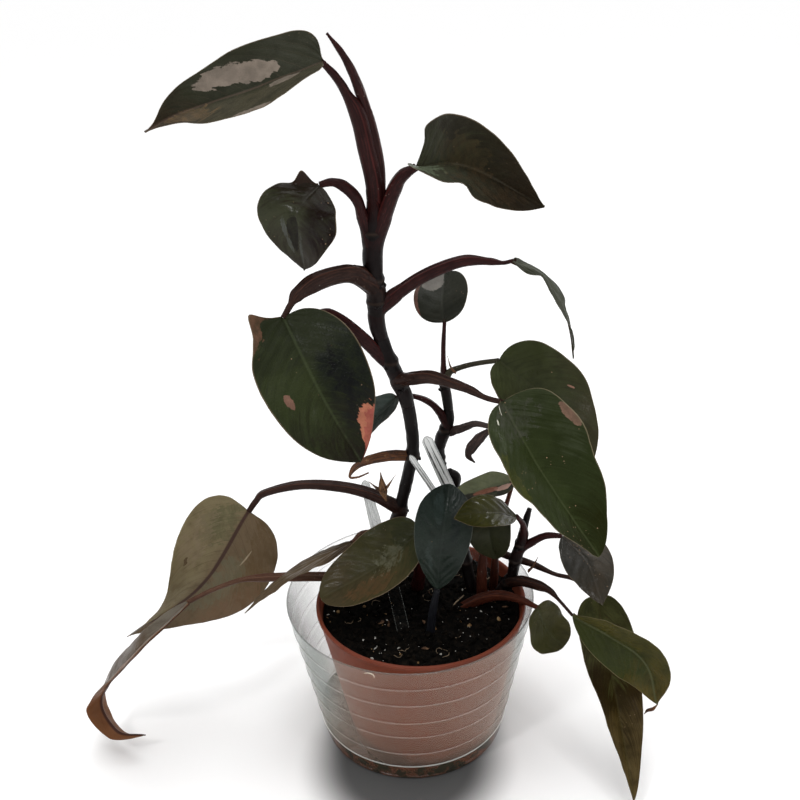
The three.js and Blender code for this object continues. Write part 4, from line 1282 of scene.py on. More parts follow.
            path=(
                (-4, 14, 160), (-21, 17, 170), (-43, 21, 175), (-70, 25, 175), (-94, 28, 168),
                (-101, 29, 161), (-106, 28, 154),
            ),
            sizes=(4.6, 4.4, 4, 3.4, 2.8, 2.3, 2), flat=0.9, groove=0.3,
        ),
    ),
    Leaf(
        "leaf_12",
        LeafLook(
            body=(0.074, 0.052, 0.034), flank=(0.14, 0.056, 0.019), tip=(0.18, 0.067, 0.026),
            base=(0.11, 0.096, 0.074), vein=(0.1, 0.05, 0.035), under=(0.165, 0.068, 0.028), gloss=0.42,
            flank_on=Half.LEFT,
        ),
        TAN_STALK,
        midrib=((-144, -16, 114), (-173, -44, 98), (-213, -14, 36), (-202, -28, 18), (-181, -34, 19)),
        face=(-0.39, -0.03, 0.92), twist=39, width=27, shoulder=0.66, point=0.99, fold=22, cup=-10, lobe=3,
        wave=(0.6, 2, 0),
        petiole=Limb(
            path=(
                (-14, 20, 103), (-40, 14, 109), (-53, 10, 112), (-73, 4, 117), (-95, 0, 120), (-111, -5, 122),
                (-129, -11, 119), (-144, -16, 114),
            ),
            sizes=(3.8, 3.8, 3.6, 3.6, 3.2, 1.8, 1.6, 1.6), flat=0.8, groove=0.5,
        ),
    ),
    Leaf(
        "leaf_13",
        LeafLook(
            body=(0.09, 0.064, 0.038), flank=(0.074, 0.05, 0.029), tip=(0.095, 0.068, 0.044),
            base=(0.032, 0.021, 0.011), vein=(0.09, 0.06, 0.036), under=(0.07, 0.048, 0.03), gloss=0.42,
            shine=0.06,
        ),
        TAN_STALK, midrib=((-36, 2, 144), (-80, -12, 127), (-106, -28, 113)), face=(-0.45, 0.13, 0.88),
        twist=12, width=25, shoulder=0.52, point=0.97, fold=4, cup=-7, lobe=4, wave=(0.5, 2, 0.4),
        crumple=1.6,
        petiole=Limb(
            path=((-12, 18, 128), (-20, 19, 138), (-30, 12, 144), (-36, 2, 144)),
            sizes=(2.6, 2.2, 1.8, 1.4),
        ),
    ),
    Leaf(
        "leaf_14",
        LeafLook(
            body=(0.036, 0.033, 0.013), flank=(0.046, 0.037, 0.015), tip=(0.046, 0.034, 0.016),
            base=(0.026, 0.028, 0.011), vein=(0.056, 0.049, 0.024), under=(0.07, 0.048, 0.03), gloss=0.2,
            shine=0.045, flank_on=Half.LEFT, veins=0.22, painted_sheen=0.04,
            patches=(
                Patch((0.085, 0.04, 0.017), (0.6, -0.6), (0.2, 0.3), ragged=0.25, cover=0.45, streaks=0.7),
                Patch((0.014, 0.015, 0.006), (0.14, 0.3), (0.12, 0.45), ragged=0.16, cover=0.6, streaks=0.5),
                # pale streaks painted as the highlights of the crumpled middle
                Patch((0.12, 0.12, 0.082), (0.35, 0.0), (0.15, 0.34), ragged=0.3, cover=0.4, streaks=1.0),
            ),
        ),
        MAROON_STALK, midrib=((8, -15, 161), (-21, -21, 139), (-57, -26, 121)), face=(-0.43, -0.5, 0.75),
        twist=-3, width=46, shoulder=0.4, point=0.55, fold=15, cup=2, lobe=5, wave=(0.8, 2, 0.1),
        petiole=Limb(
            path=((4, 12, 86), (5, 10, 100), (7, 1, 119), (8, -8, 142), (8.4, -14.4, 159.8)),
            sizes=(4.4, 4.6, 4, 2.6, 1.6), up=(0, 1, 0), groove=0.4,
        ),
    ),
    Leaf(
        "leaf_15",
        LeafLook(
            body=(0.008, 0.013, 0.009), flank=(0.011, 0.017, 0.012), tip=(0.009, 0.014, 0.011),
            vein=(0.022, 0.03, 0.024), gloss=0.26, shine=0.13, flank_on=Half.LEFT, veins=0.18, painted_sheen=0.1,
            rim=(0.065, 0.07, 0.056),
            patches=(
                Patch((0.004, 0.0065, 0.006), (0.62, 0.42), (0.15, 0.16), turn=-20, cover=0.7, streaks=0.6),
                Patch((0.024, 0.033, 0.029), (0.3, -0.48), (0.13, 0.14), turn=15, cover=0.6, streaks=0.7),
                Patch((0.022, 0.033, 0.03), (0.78, -0.3), (0.14, 0.28), turn=30, cover=0.5, streaks=0.7),
            ),
        ),
        BLUE_STALK, midrib=((17, -36, 132), (21, -37, 173), (26, -23, 200)), face=(-0.2, -0.98, 0.03),
        twist=3, width=36, shoulder=0.87, point=0.62, fold=13, cup=1, lobe=6, wave=(0.6, 2, 0.5), crumple=1.7,
        petiole=Limb(
            path=((11, -36, 86), (12, -36, 98), (14, -36, 116), (17, -36, 132)),
            sizes=(3, 3, 2.6, 1.8), up=(0, -1, 0), groove=0.3,
        ),
    ),
    Leaf(
        "leaf_16",
        LeafLook(
            body=(0.046, 0.046, 0.013), flank=(0.05, 0.048, 0.012), tip=(0.022, 0.022, 0.005),
            base=(0.03, 0.026, 0.01), vein=(0.05, 0.046, 0.018), gloss=0.035, shine=0.055, veins=0.2,
        ),
        MAROON_STALK, midrib=((68, -16, 171), (47, -40, 190), (27, -54, 195)), face=(0.7, -0.3, 0.65),
        twist=-6, width=21, shoulder=0.8, point=0.83, fold=11, cup=-1, lobe=3, wave=(0.4, 2, 0.3),
        crumple=2.2,
        petiole=Limb(path=((74, -7, 151), (73, -11, 161), (68, -16, 171)), sizes=(2, 1.9, 1.4), up=(1, 0, 0)),
    ),
    Leaf(
        "leaf_17",
        LeafLook(
            body=(0.028, 0.03, 0.014), flank=(0.022, 0.022, 0.011), tip=(0.024, 0.026, 0.012),
            vein=(0.026, 0.03, 0.016), gloss=0.36, veins=0.25,
        ),
        RUSTY_STALK, midrib=((53, 4, 171), (52, -11, 156), (56, -7, 133)), face=(-0.29, -0.67, 0.68), twist=2,
        width=30, shoulder=0.56, point=0.76, fold=14, cup=1, lobe=6, wave=(0.5, 2, 0.3),
        petiole=Limb(
            path=((47, -2, 86), (48, -1, 98), (48, 0, 117), (50, 3, 140), (53, 4, 171)),
            sizes=(3.8, 3.8, 3.4, 2.2, 1.4), up=(0, 1, 0), groove=0.4,
        ),
    ),
    Leaf(
        "leaf_18",
        LeafLook(
            body=(0.112, 0.121, 0.064), flank=(0.01, 0.01, 0.007), tip=(0.076, 0.085, 0.047),
            vein=(0.09, 0.1, 0.06), flank_on=Half.LEFT,
            patches=(
                Patch((0.012, 0.011, 0.009), (0.8, -0.55), (0.22, 0.5), ragged=0.08, streaks=0.2),
                Patch((0.36, 0.225, 0.18), (0.2, -0.42), (0.18, 0.24), ragged=0.08, streaks=0.2),
                Patch((0.165, 0.066, 0.042), (0.48, -0.32), (0.22, 0.22), ragged=0.08, streaks=0.3),
            ),
        ),
        RUSTY_STALK, midrib=((66, -8, 191), (49, -9, 188), (27, -8, 180)), face=(-0.41, -0.22, 0.88),
        twist=-5, width=22, shoulder=0.6, point=0.68, fold=8, cup=-3, lobe=5, wave=(0.6, 2, 0.3),
        petiole=Limb(
            path=((56, 5, 86), (56, 6, 98), (57, 6, 113), (58, 6, 134), (62, 1, 162), (66.3, -7.6, 189.6)),
            sizes=(3, 3, 2.8, 2, 1.6, 1.3), up=(0, 1, 0), groove=0.4,
        ),
    ),
    Leaf(
        "leaf_19",
        LeafLook(
            body=(0.02, 0.018, 0.013), flank=(0.04, 0.032, 0.022), tip=(0.03, 0.022, 0.013),
            vein=(0.05, 0.042, 0.032), gloss=0.24, shine=0.2, flank_on=Half.LEFT, veins=0.25, painted_sheen=0.05,
            flecks=0.4,
        ),
        MAROON_STALK, midrib=((97, -16, 155), (110, -35, 147), (117, -52, 128)), face=(0.1, -0.23, 0.97),
        twist=18, width=33, shoulder=0.78, point=0.98, fold=9, cup=-2, lobe=-2, wave=(0.6, 2, 0.5),
        crumple=1.5,
        petiole=Limb(
            path=((73, -5, 139), (81, -8, 147), (88, -12, 153), (97, -16, 155)),
            sizes=(2.4, 2.5, 2.2, 1.6),
        ),
    ),
    Leaf(
        "leaf_20",
        LeafLook(
            body=(0.038, 0.037, 0.0125), flank=(0.05, 0.046, 0.016), tip=(0.036, 0.031, 0.011),
            vein=(0.045, 0.046, 0.02), gloss=0.24, shine=0.06, flank_on=Half.LEFT, veins=0.4,
        ),
        RUSTY_STALK, midrib=((80, -34, 114), (88, -34, 94), (97, -41, 88)), face=(0.62, -0.74, 0.25),
        twist=-13, width=34, shoulder=0.5, point=0.45, fold=5, cup=-6, lobe=5, wave=(0.6, 3, 0.2),
        petiole=Limb(
            path=((34, -9, 97), (46, -11, 105), (58, -16, 111), (70, -25, 114), (80, -34, 114)),
            sizes=(4, 4.2, 3.8, 2.8, 1.8), flat=0.8, groove=0.4,
        ),
    ),
    Leaf(
        "leaf_21",
        LeafLook(
            body=(0.026, 0.031, 0.006), flank=(0.048, 0.041, 0.0048), tip=(0.072, 0.05, 0.009),
            vein=(0.075, 0.08, 0.036), gloss=0.3, flank_on=Half.LEFT, veins=0.4, painted_sheen=0.04,
            rim=(0.17, 0.14, 0.07),
        ),
        BROWN_STALK, midrib=((101, -42, 113), (142, -57, 90), (152, -67, 61)), face=(-0.32, -0.95, 0.04),
        twist=-2, width=38, shoulder=0.88, point=1.11, fold=21, cup=8, lobe=3, wave=(0.6, 2, 0.6),
        petiole=Limb(
            path=(
                (64, -3, 110), (72, -9, 117), (82, -17, 119), (89, -25, 120), (94, -33, 118), (101, -42, 113),
            ),
            sizes=(3.2, 4.2, 4, 2.6, 1.3, 1.2), flat=0.7, groove=0.4,
        ),
    ),
    Leaf(
        "leaf_22",
        LeafLook(
            body=(0.021, 0.013, 0.0022), flank=(0.02, 0.011, 0.0024), tip=(0.086, 0.06, 0.02),
            base=(0.052, 0.054, 0.016), vein=(0.045, 0.038, 0.014), gloss=0.36, shine=0.05, veins=0.25,
            patches=(
                Patch((0.012, 0.014, 0.004), (0.12, 0.55), (0.13, 0.4), cover=0.6, streaks=0.6),
            ),
        ),
        BROWN_STALK, midrib=((121, -16, 108), (132, -34, 50), (135, -94, 9)), face=(-0.1, -0.95, 0.28),
        twist=-36, width=41, shoulder=0.34, point=0.79, fold=23, cup=9, lobe=4, wave=(0.8, 3, 0.2),
        petiole=Limb(
            path=((59, 5, 130), (71, 6, 124), (83, 2, 121), (95, -6, 119), (108, -12, 118), (121, -16, 108)),
            sizes=(2.4, 2.6, 2.2, 1.4, 1.4, 1.3),
        ),
    ),
)


# ------------------------ stems, spike, stakes, dry pieces


@dataclass(frozen=True)
class Stem:
    """A stem with the rings that fallen leaves left, root nubs at them, and dead side stubs."""

    node: str
    limb: Limb
    rings: tuple[float, ...]
    stubs: tuple[Limb, ...] = ()
    swell: float = 0.8  # how far it stands out at a ring
    spread: float = 3.0  # and over what height
    lip: float = 0.3  # the same for the ring's sharp lip
    lip_spread: float = 0.9
    lean: float = 1.3  # how far a ring runs askew
    rough: float = 0.28  # unevenness of its bark
    scar: float = 0.8  # height over which it has the colour of a ring

    def section(self, line: Line, t: float, angle: float) -> Pair:
        """Point of the stem's skin, swollen at the rings.

        Args:
            line: The stem's line.
            t: Place along it.
            angle: Angle round it.

        Returns:
            Distance across and height.
        """
        height = line.at(t).z + self.lean * math.sin(angle)
        size = between(self.limb.sizes, t)
        grow = sum(self.swell * bell(height, ring, self.spread) for ring in self.rings)
        grow += sum(self.lip * bell(height, ring, self.lip_spread) for ring in self.rings)
        round_it = Vector((math.cos(angle), math.sin(angle), height * 0.13))
        grow += self.rough * noise.noise(round_it * 1.4)
        return math.cos(angle) * (size + grow), math.sin(angle) * (size + grow)

    def build(self) -> None:
        """Make the stem and let it stand for its node."""
        line = Line(self.limb.path)
        bm = self.limb.build(36, 0.9, lambda t, angle: self.section(line, t, angle))
        for stub in self.stubs:
            add_mesh(bm, stub.build(20, 1.0))
        draw = random.Random(self.node)
        for ring in self.rings:
            t = line.where_least(lambda point: abs(point.z - ring))
            for _ in range(3):
                turn = draw.uniform(0, 2 * math.pi)
                out = Vector((math.cos(turn), math.sin(turn), draw.uniform(-0.4, 0.1)))
                place = line.at(t) + out * (between(self.limb.sizes, t) + 0.6)
                place.z += draw.uniform(-3.5, -1.5)
                add_lump(bm, place, (1.1, 1.1, 1.5), random_turn(draw), 2, 0.3)
        layer = bm.verts.layers.float.new("ring")
        for vert in bm.verts:
            height = vert.co.z / MM
            vert[layer] = min(1.0, sum(bell(height, ring, self.scar) for ring in self.rings))
        piece = new_piece(f"{self.node}_bark", bm, STEM_BARK.name)
        settle(piece, self.node)


STEMS: tuple[Stem, ...] = (
    Stem(
        "main_stem",
        Limb(
            path=(
                (-14, 21, 82), (-14, 20, 105), (-12, 18, 126), (-8, 16, 147), (-3, 14, 167), (1, 12, 185),
                (5, 9, 208), (4, 7, 229), (1, 5, 247), (-5, 4, 264), (-10, 5, 279), (-14, 5, 294),
                (-14, 6, 312), (-15, 7, 331), (-14, 8, 348), (-12, 8, 362),
            ),
            sizes=(4.2, 4.2, 4.1, 4.1, 4, 4, 4, 4.1, 4.2, 4.3, 4.2, 4.4, 5, 5.4, 5.4, 4.4), up=(0, -1, 0),
        ),
        rings=(105, 128, 162, 203, 256, 270, 308, 321, 349),
    ),
    Stem(
        "second_stem",
        Limb(
            path=(
                (44, 4, 82), (42, 7, 98), (38, 12, 120), (35, 18, 140), (30, 24, 162), (25, 27, 177),
                (22, 29, 191), (24, 30, 203), (29, 30, 216), (28, 29, 231), (26, 28, 247),
            ),
            sizes=(4, 4, 4, 3.9, 3.8, 3.7, 3.7, 3.8, 3.4, 2.8, 2.7), up=(0, -1, 0),
        ),
        rings=(120, 166, 190, 210, 243),
        stubs=(Limb(((31, 25, 166), (33, 22, 178), (28, 20, 184)), (3, 3.2, 2.6)),),
    ),
    Stem(
        "third_stem",
        Limb(
            path=(
                (55, -3, 82), (58, -3, 98), (63, -3, 108), (68, -3, 118),
                (70, -4, 133), (73, -5, 144), (74, -7, 155),
            ),
            sizes=(3.6, 3.6, 3.6, 3.4, 3.4, 3.2, 2.8), up=(0, -1, 0),
        ),
        rings=(112, 130, 143),
        stubs=(Limb(((74, -6, 152), (76, -4, 161), (78, -3, 168)), (2.2, 2.2, 1.6)),),
    ),
)


@dataclass(frozen=True)
class Spike:
    """The new leaf, still rolled round itself, at the top of the main stem."""

    limb: Limb = Limb(
        path=(
            (-9, 9, 361), (-9, 10, 386), (-13, 7, 409), (-17, 4, 425),
            (-21, 2, 437), (-26, 0, 447), (-33, -2, 457),
        ),
        sizes=(2.6, 2.9, 3.1, 3, 2.5, 1.8, 0.7), up=(0, -1, 0),
    )
    turns: float = 0.55  # how far the seam runs round it
    lap: float = 0.17  # height of the seam, as a share of the radius

    def section(self, t: float, angle: float) -> Pair:
        """Skin of the roll, which steps out at its seam.

        Args:
            t: Place along the roll.
            angle: Angle round it.

        Returns:
            Distance across and height.
        """
        size = between(self.limb.sizes, t)
        past = (angle / (2 * math.pi) + 0.33 + self.turns * t) % 1.0
        size *= 1.0 + self.lap * (past - 0.6)
        return math.cos(angle) * size, math.sin(angle) * size

    def build(self) -> None:
        """Make the roll and let it stand for its node."""
        bm = self.limb.build(56, 0.8, self.section)
        settle(new_piece("rolled_new_leaf", bm, SPIKE_SKIN.name), "new_leaf_spike")


@dataclass(frozen=True)
class ClearFinish:
    """Clear plastic, clouded and scratched, which shows more towards its edges."""

    name: str
    body: Colour
    face_on: float
    edge_on: float
    scratches: float
    gloss: float = 0.12
    low: Colour = (0.33, 0.25, 0.2)  # painted reflection of the pot inside, on the part of the wall in front of it
    residue: float = 0.0  # height of the dirty band at the foot, in metres
    ribbon: float = 0.0  # strength of the bright and dark stripes painted along a strip as reflections
    edges: float = 0.0  # cover that a strip's two narrow edges add
    edge_tint: Colour = (0.9, 0.92, 0.91)
    shine: float = 0.5
    clouding: float = 0.03  # cover that its cloudy spots add
    bare_top: float = 0.0  # cover that a strip's upper part adds, above the mix

    def pot_wall(self, shader: Shader, place: Signal, cloud: Signal, veil: Signal) -> tuple[Signal, Signal]:
        """Draw the hoops with their painted highlights, the brim, the painted reflection of the pot inside,
        the browner lower wall and the dirty foot of the clear pot.

        Args:
            shader: The material under way.
            place: Object coordinates.
            cloud: The plastic's cloudiness.
            veil: Its cover so far.

        Returns:
            Its colour and its cover.
        """
        moulded, brim = shader.layer("moulded"), shader.layer("brim")
        height, sideways = shader.axis(place, "Z"), shader.axis(place, "X")
        wet = height + shader.rise(cloud, 0.2, 0.8, start=-0.002, end=0.002)
        band = shader.rise(wet, self.residue, self.residue * 0.93)
        grime = shader.rise(shader.noise(place, scale=95.0, detail=5.0, rough=0.7), 0.44, 0.56)
        dirt = shader.blend(grime, Tone.GRIME_RUST, Tone.GRIME_GREEN)
        # painted reflection of the terracotta pot on the part of the wall in front of it
        low = shader.rise(sideways, -0.058, -0.04) * shader.rise(sideways, 0.072, 0.056)
        # browner towards the foot of the wall
        browner_low = shader.rise(height, 0.075, 0.014, end=0.8)
        tint = shader.blend(low, shader.blend(browner_low, self.body, Tone.LOW_WALL_BROWN), self.low)
        # a highlight painted along each hoop
        tint = shader.blend(moulded, tint, Tone.HOOP_PAINTED_HIGHLIGHT)
        tint = shader.blend(brim, tint, Tone.BRIM_GREY)
        colour = shader.blend(band * 0.92, tint, dirt)
        veil = veil + moulded * 0.22 + brim * 0.35
        return colour, veil + band * shader.rise(grime, 0.0, 1.0, start=0.45, end=0.8)

    def strip(self, shader: Shader, veil: Signal) -> tuple[Signal, Signal]:
        """Draw the reflections painted as stripes along a strip, and its two narrow edges.

        Args:
            shader: The material under way.
            veil: The plastic's cover so far.

        Returns:
            Its colour and its cover.
        """
        along, turn = shader.layer("along"), shader.layer("around")
        near_edge = shader.rise(shader.math("PINGPONG", turn, 0.25), 0.115, 0.07)
        lines = shader.plane(along * 2.5, turn * 64.0)
        # bright and dark stripes painted as reflections along the strip
        stripe = shader.rise(shader.noise(lines, scale=1.0, rough=0.6), 0.44, 0.49)
        striped = shader.blend(stripe, Tone.PAINTED_REFLECTION_DARK, Tone.PAINTED_REFLECTION_BRIGHT)
        striped = shader.blend(near_edge, striped, self.edge_tint)
        colour = shader.blend(self.ribbon, self.body, striped)
        return colour, veil + near_edge * self.edges + shader.rise(along, 0.5, 0.36, end=self.bare_top)

    def material(self) -> None:
        """Build the material."""
        shader = Shader(self.name)
        place = shader.place()
        facing = shader.add("LayerWeight", {"Blend": 0.28}, output="Facing")
        cloud = shader.noise(shader.drawn_out(place, 0.35), scale=38.0, detail=5.0, rough=0.65)
        scratch = shader.noise(shader.drawn_out(place, 0.04), scale=620.0, rough=0.7)
        scratch = shader.rise(scratch, 0.62, 0.74)
        smear = shader.noise(shader.drawn_out(place, 0.5), scale=150.0, detail=4.0, rough=0.7)
        smear = shader.rise(smear, 0.62, 0.72)
        veil = shader.rise(facing, 0.05, 0.95, start=self.face_on, end=self.edge_on)
        veil = veil + shader.rise(cloud, 0.45, 0.75, end=self.clouding)
        veil = veil + scratch * self.scratches + smear * (self.scratches * 0.6)
        if self.ribbon > 0:
            colour, veil = self.strip(shader, veil)
        else:
            colour, veil = self.pot_wall(shader, place, cloud, veil)
        rough = shader.rise(cloud, 0.4, 0.75, start=self.gloss, end=self.gloss + 0.2)
        shader.relief(scratch * 0.3, strength=0.05, distance=0.0005)
        shader.dress(
            Base_Color=colour, Roughness=rough, Alpha=shader.math("MINIMUM", veil, 1.0),
            IOR=1.49, Specular_IOR_Level=self.shine,
        )


CLEAR_POT_SKIN = ClearFinish(
    "clear_pot_plastic", (0.23, 0.27, 0.245), 0.06, 0.82, 0.12, residue=0.0128, shine=0.32
)
STAKE_SKIN = ClearFinish(
    "clear_stake_plastic", (0.55, 0.57, 0.55), 0.01, 0.1, 0.02, gloss=0.15, ribbon=1.0, edges=0.1,
    edge_tint=(0.42, 0.44, 0.43), shine=0.2, clouding=0.004, bare_top=0.86,
)
SUNK_STAKE_SKIN = ClearFinish(
    "clear_sunk_stake_plastic", (0.33, 0.35, 0.33), 0.004, 0.1, 0.0, gloss=0.35, ribbon=0.25, edges=0.2,
    edge_tint=(0.5, 0.52, 0.46), shine=0.1, clouding=0.004, bare_top=0.55,
)


@dataclass(frozen=True)
class Stake:
    """A flat strip of clear plastic that props the plant, with a rounded upper tip."""

    node: str
    limb: Limb
    skin: ClearFinish = STAKE_SKIN
    half: float = 0.5
    tip_run: float = 0.03  # share of its length over which its tip is rounded

    def section(self, t: float, angle: float) -> Pair:
        """Point of the strip's skin, a long rectangle with round corners.

        Args:
            t: Place along the strip.
            angle: Angle round it.

        Returns:
            Distance across and height.
        """
        across, rise = math.cos(angle), math.sin(angle)
        tip = math.sqrt(min(1.0, (t + 0.002) / self.tip_run))
        wide = math.copysign(abs(across) ** 0.6, across) * self.half
        high = math.copysign(abs(rise) ** 0.3, rise) * between(self.limb.sizes, t) * tip
        return wide, high

    def build(self) -> None:
        """Make the strip and let it stand for its node."""
        bm = self.limb.build(28, 1.2, self.section)
        piece = new_piece(f"{self.node}_strip", bm, self.skin.name)
        settle(piece, self.node)


STAKES: tuple[Stake, ...] = (
    Stake(
        "clear_stake_left",
        Limb(((3, -6, 211), (17, -1, 183), (40, 8, 136), (58, 13, 90)), (1.9, 2, 2, 2), (1, 0, 0)),
    ),
    Stake(
        "clear_stake_right",
        Limb(((13, -1, 221), (25, 4, 187), (42, 13, 140), (56, 22, 90)), (3.6, 4, 4, 4), (1, 0, 0)),
    ),
    Stake(
        "clear_stake_back",
        Limb(((-28, 38, 169), (-20, 13, 145), (-11, -14, 120), (-3, -42, 93)), (3, 4, 4, 4), (1, 0, 0)),
        SUNK_STAKE_SKIN,
    ),
)


@dataclass(frozen=True)
class DryFinish:
    """Dry, papery brown skin with darker lengthwise folds."""

    name: str = "dry_skin"
    body: Colour = Tone.DRY_BROWN
    dark: Colour = Tone.DRY_DARK
    edge: Colour = (0.34, 0.2, 0.09)

    def material(self) -> None:
        """Build the material."""
        shader = Shader(self.name)
        place = shader.place()
        turn = shader.layer("around") * 20.0
        strip = shader.plane(shader.layer("along"), turn)
        fold = shader.noise(strip, scale=3.0, detail=4.0, rough=0.65)
        stain = shader.noise(place, scale=140.0, detail=5.0, rough=0.65)
        colour = shader.blend(shader.rise(fold, 0.4, 0.62), self.dark, self.body)
        colour = shader.blend(shader.rise(stain, 0.5, 0.68, end=0.85), colour, self.dark)
        colour = shader.blend(shader.rise(stain, 0.42, 0.3, end=0.6), colour, self.edge)
        shader.relief(fold + shader.noise(place, scale=500.0), strength=0.5, distance=0.0006)
        shader.dress(Base_Color=colour, Roughness=0.72)


DRY_SKIN = DryFinish()
WITHERED_SKIN = DryFinish(
    "withered_skin", (0.05, 0.021, 0.014), (0.01, 0.0045, 0.0036), (0.2, 0.145, 0.105)
)
STRAW_SKIN = DryFinish("straw_skin", (0.27, 0.125, 0.04), (0.04, 0.017, 0.008), (0.46, 0.31, 0.15))


@dataclass(frozen=True)
class DryPiece:
    """A dried petiole or leaf, creased along its length."""

    node: str
    limb: Limb
    crease: float = 0.16
    folds: int = 5
    scrap: str = ""  # name of a scrap that only lies on the plant and stands for no node
    skin: DryFinish = DRY_SKIN

    def section(self, t: float, angle: float) -> Pair:
        """Point of the creased skin.

        Args:
            t: Place along the piece.
            angle: Angle round it.

        Returns:
            Distance across and height.
        """
        across, rise = self.limb.section(t, angle)
        deep = 1.0 + self.crease * math.sin(self.folds * angle + 3 * t)
        deep += 0.14 * noise.noise(Vector((t * 9, math.cos(angle), math.sin(angle))))
        return across * deep, rise * deep

    def build(self) -> None:
        """Make the piece and let it stand for its node."""
        bm = self.limb.build(40, 0.8, self.section)
        name = self.scrap or f"{self.node}_crumpled"
        settle(new_piece(name, bm, self.skin.name), self.node, stands_for=not self.scrap)


DRY_PIECES: tuple[DryPiece, ...] = (
    DryPiece(
        "dry_petiole",
        Limb(
            path=(
                (1, 9, 203), (-10, 4, 206), (-22, 0, 206), (-31, -3, 203),
                (-35, -5, 197), (-30, -6, 197), (-23, -6, 200),
            ),
            sizes=(3.2, 3.4, 3, 2, 0.8, 0.7, 0.5), flat=0.7,
        ),
    ),
    DryPiece(
        "withered_leaf_petiole",
        Limb(((30, 30, 208), (37, 24, 213), (45, 18, 219), (53, 12, 220)), (3.1, 2.6, 2, 1.6)),
        crease=0.08, skin=WITHERED_SKIN,
    ),
    DryPiece(
        "withered_leaf",
        Limb(
            path=((53, 12, 217), (47, 10, 213), (42, 9, 207), (40, 9, 201), (44, 9, 196)),
            sizes=(1.6, 2.9, 3.0, 1.9, 0.6), up=(1, 0, 0), flat=0.5,
        ),
        crease=0.22, skin=WITHERED_SKIN,
    ),
    DryPiece(
        "dry_petiole", Limb(((-24, 7, 186), (-15, 6, 180), (-6, 7, 191)), (0.4, 2.4, 0.25), (0, -1, 0), 0.3),
        crease=0.3, scrap="dry_scrap_across", skin=STRAW_SKIN,
    ),
    DryPiece(
        "dry_petiole", Limb(((-16, 6, 193), (-15, 5, 181), (-13, 7, 171)), (0.3, 2.3, 0.6), (1, 0, 0), 0.3),
        crease=0.3, scrap="dry_scrap_upright", skin=STRAW_SKIN,
    ),
    DryPiece(
        "dry_petiole", Limb(((33, 20, 254), (30, 20, 258), (28, 19, 266)), (1.5, 1.2, 0.3), (0, -1, 0), 0.4),
        crease=0.2, scrap="dry_sheath_tip_upper",
    ),
    DryPiece(
        "dry_petiole", Limb(((78, -5, 121), (81, -6, 126), (84, -6, 133)), (1.4, 1.1, 0.3), (0, -1, 0), 0.4),
        crease=0.2, scrap="dry_sheath_tip_side",
    ),
    DryPiece(
        "withered_leaf",
        Limb(
            ((152, -67, 61), (150, -66, 57), (147, -64, 54), (145.5, -63, 50)),
            (0.5, 1.2, 1.0, 0.3), (0, -1, 0), 0.4,
        ),
        crease=0.2, scrap="curled_tip_of_leaf_21",
    ),
)


# ------------------------ pots and potting mix


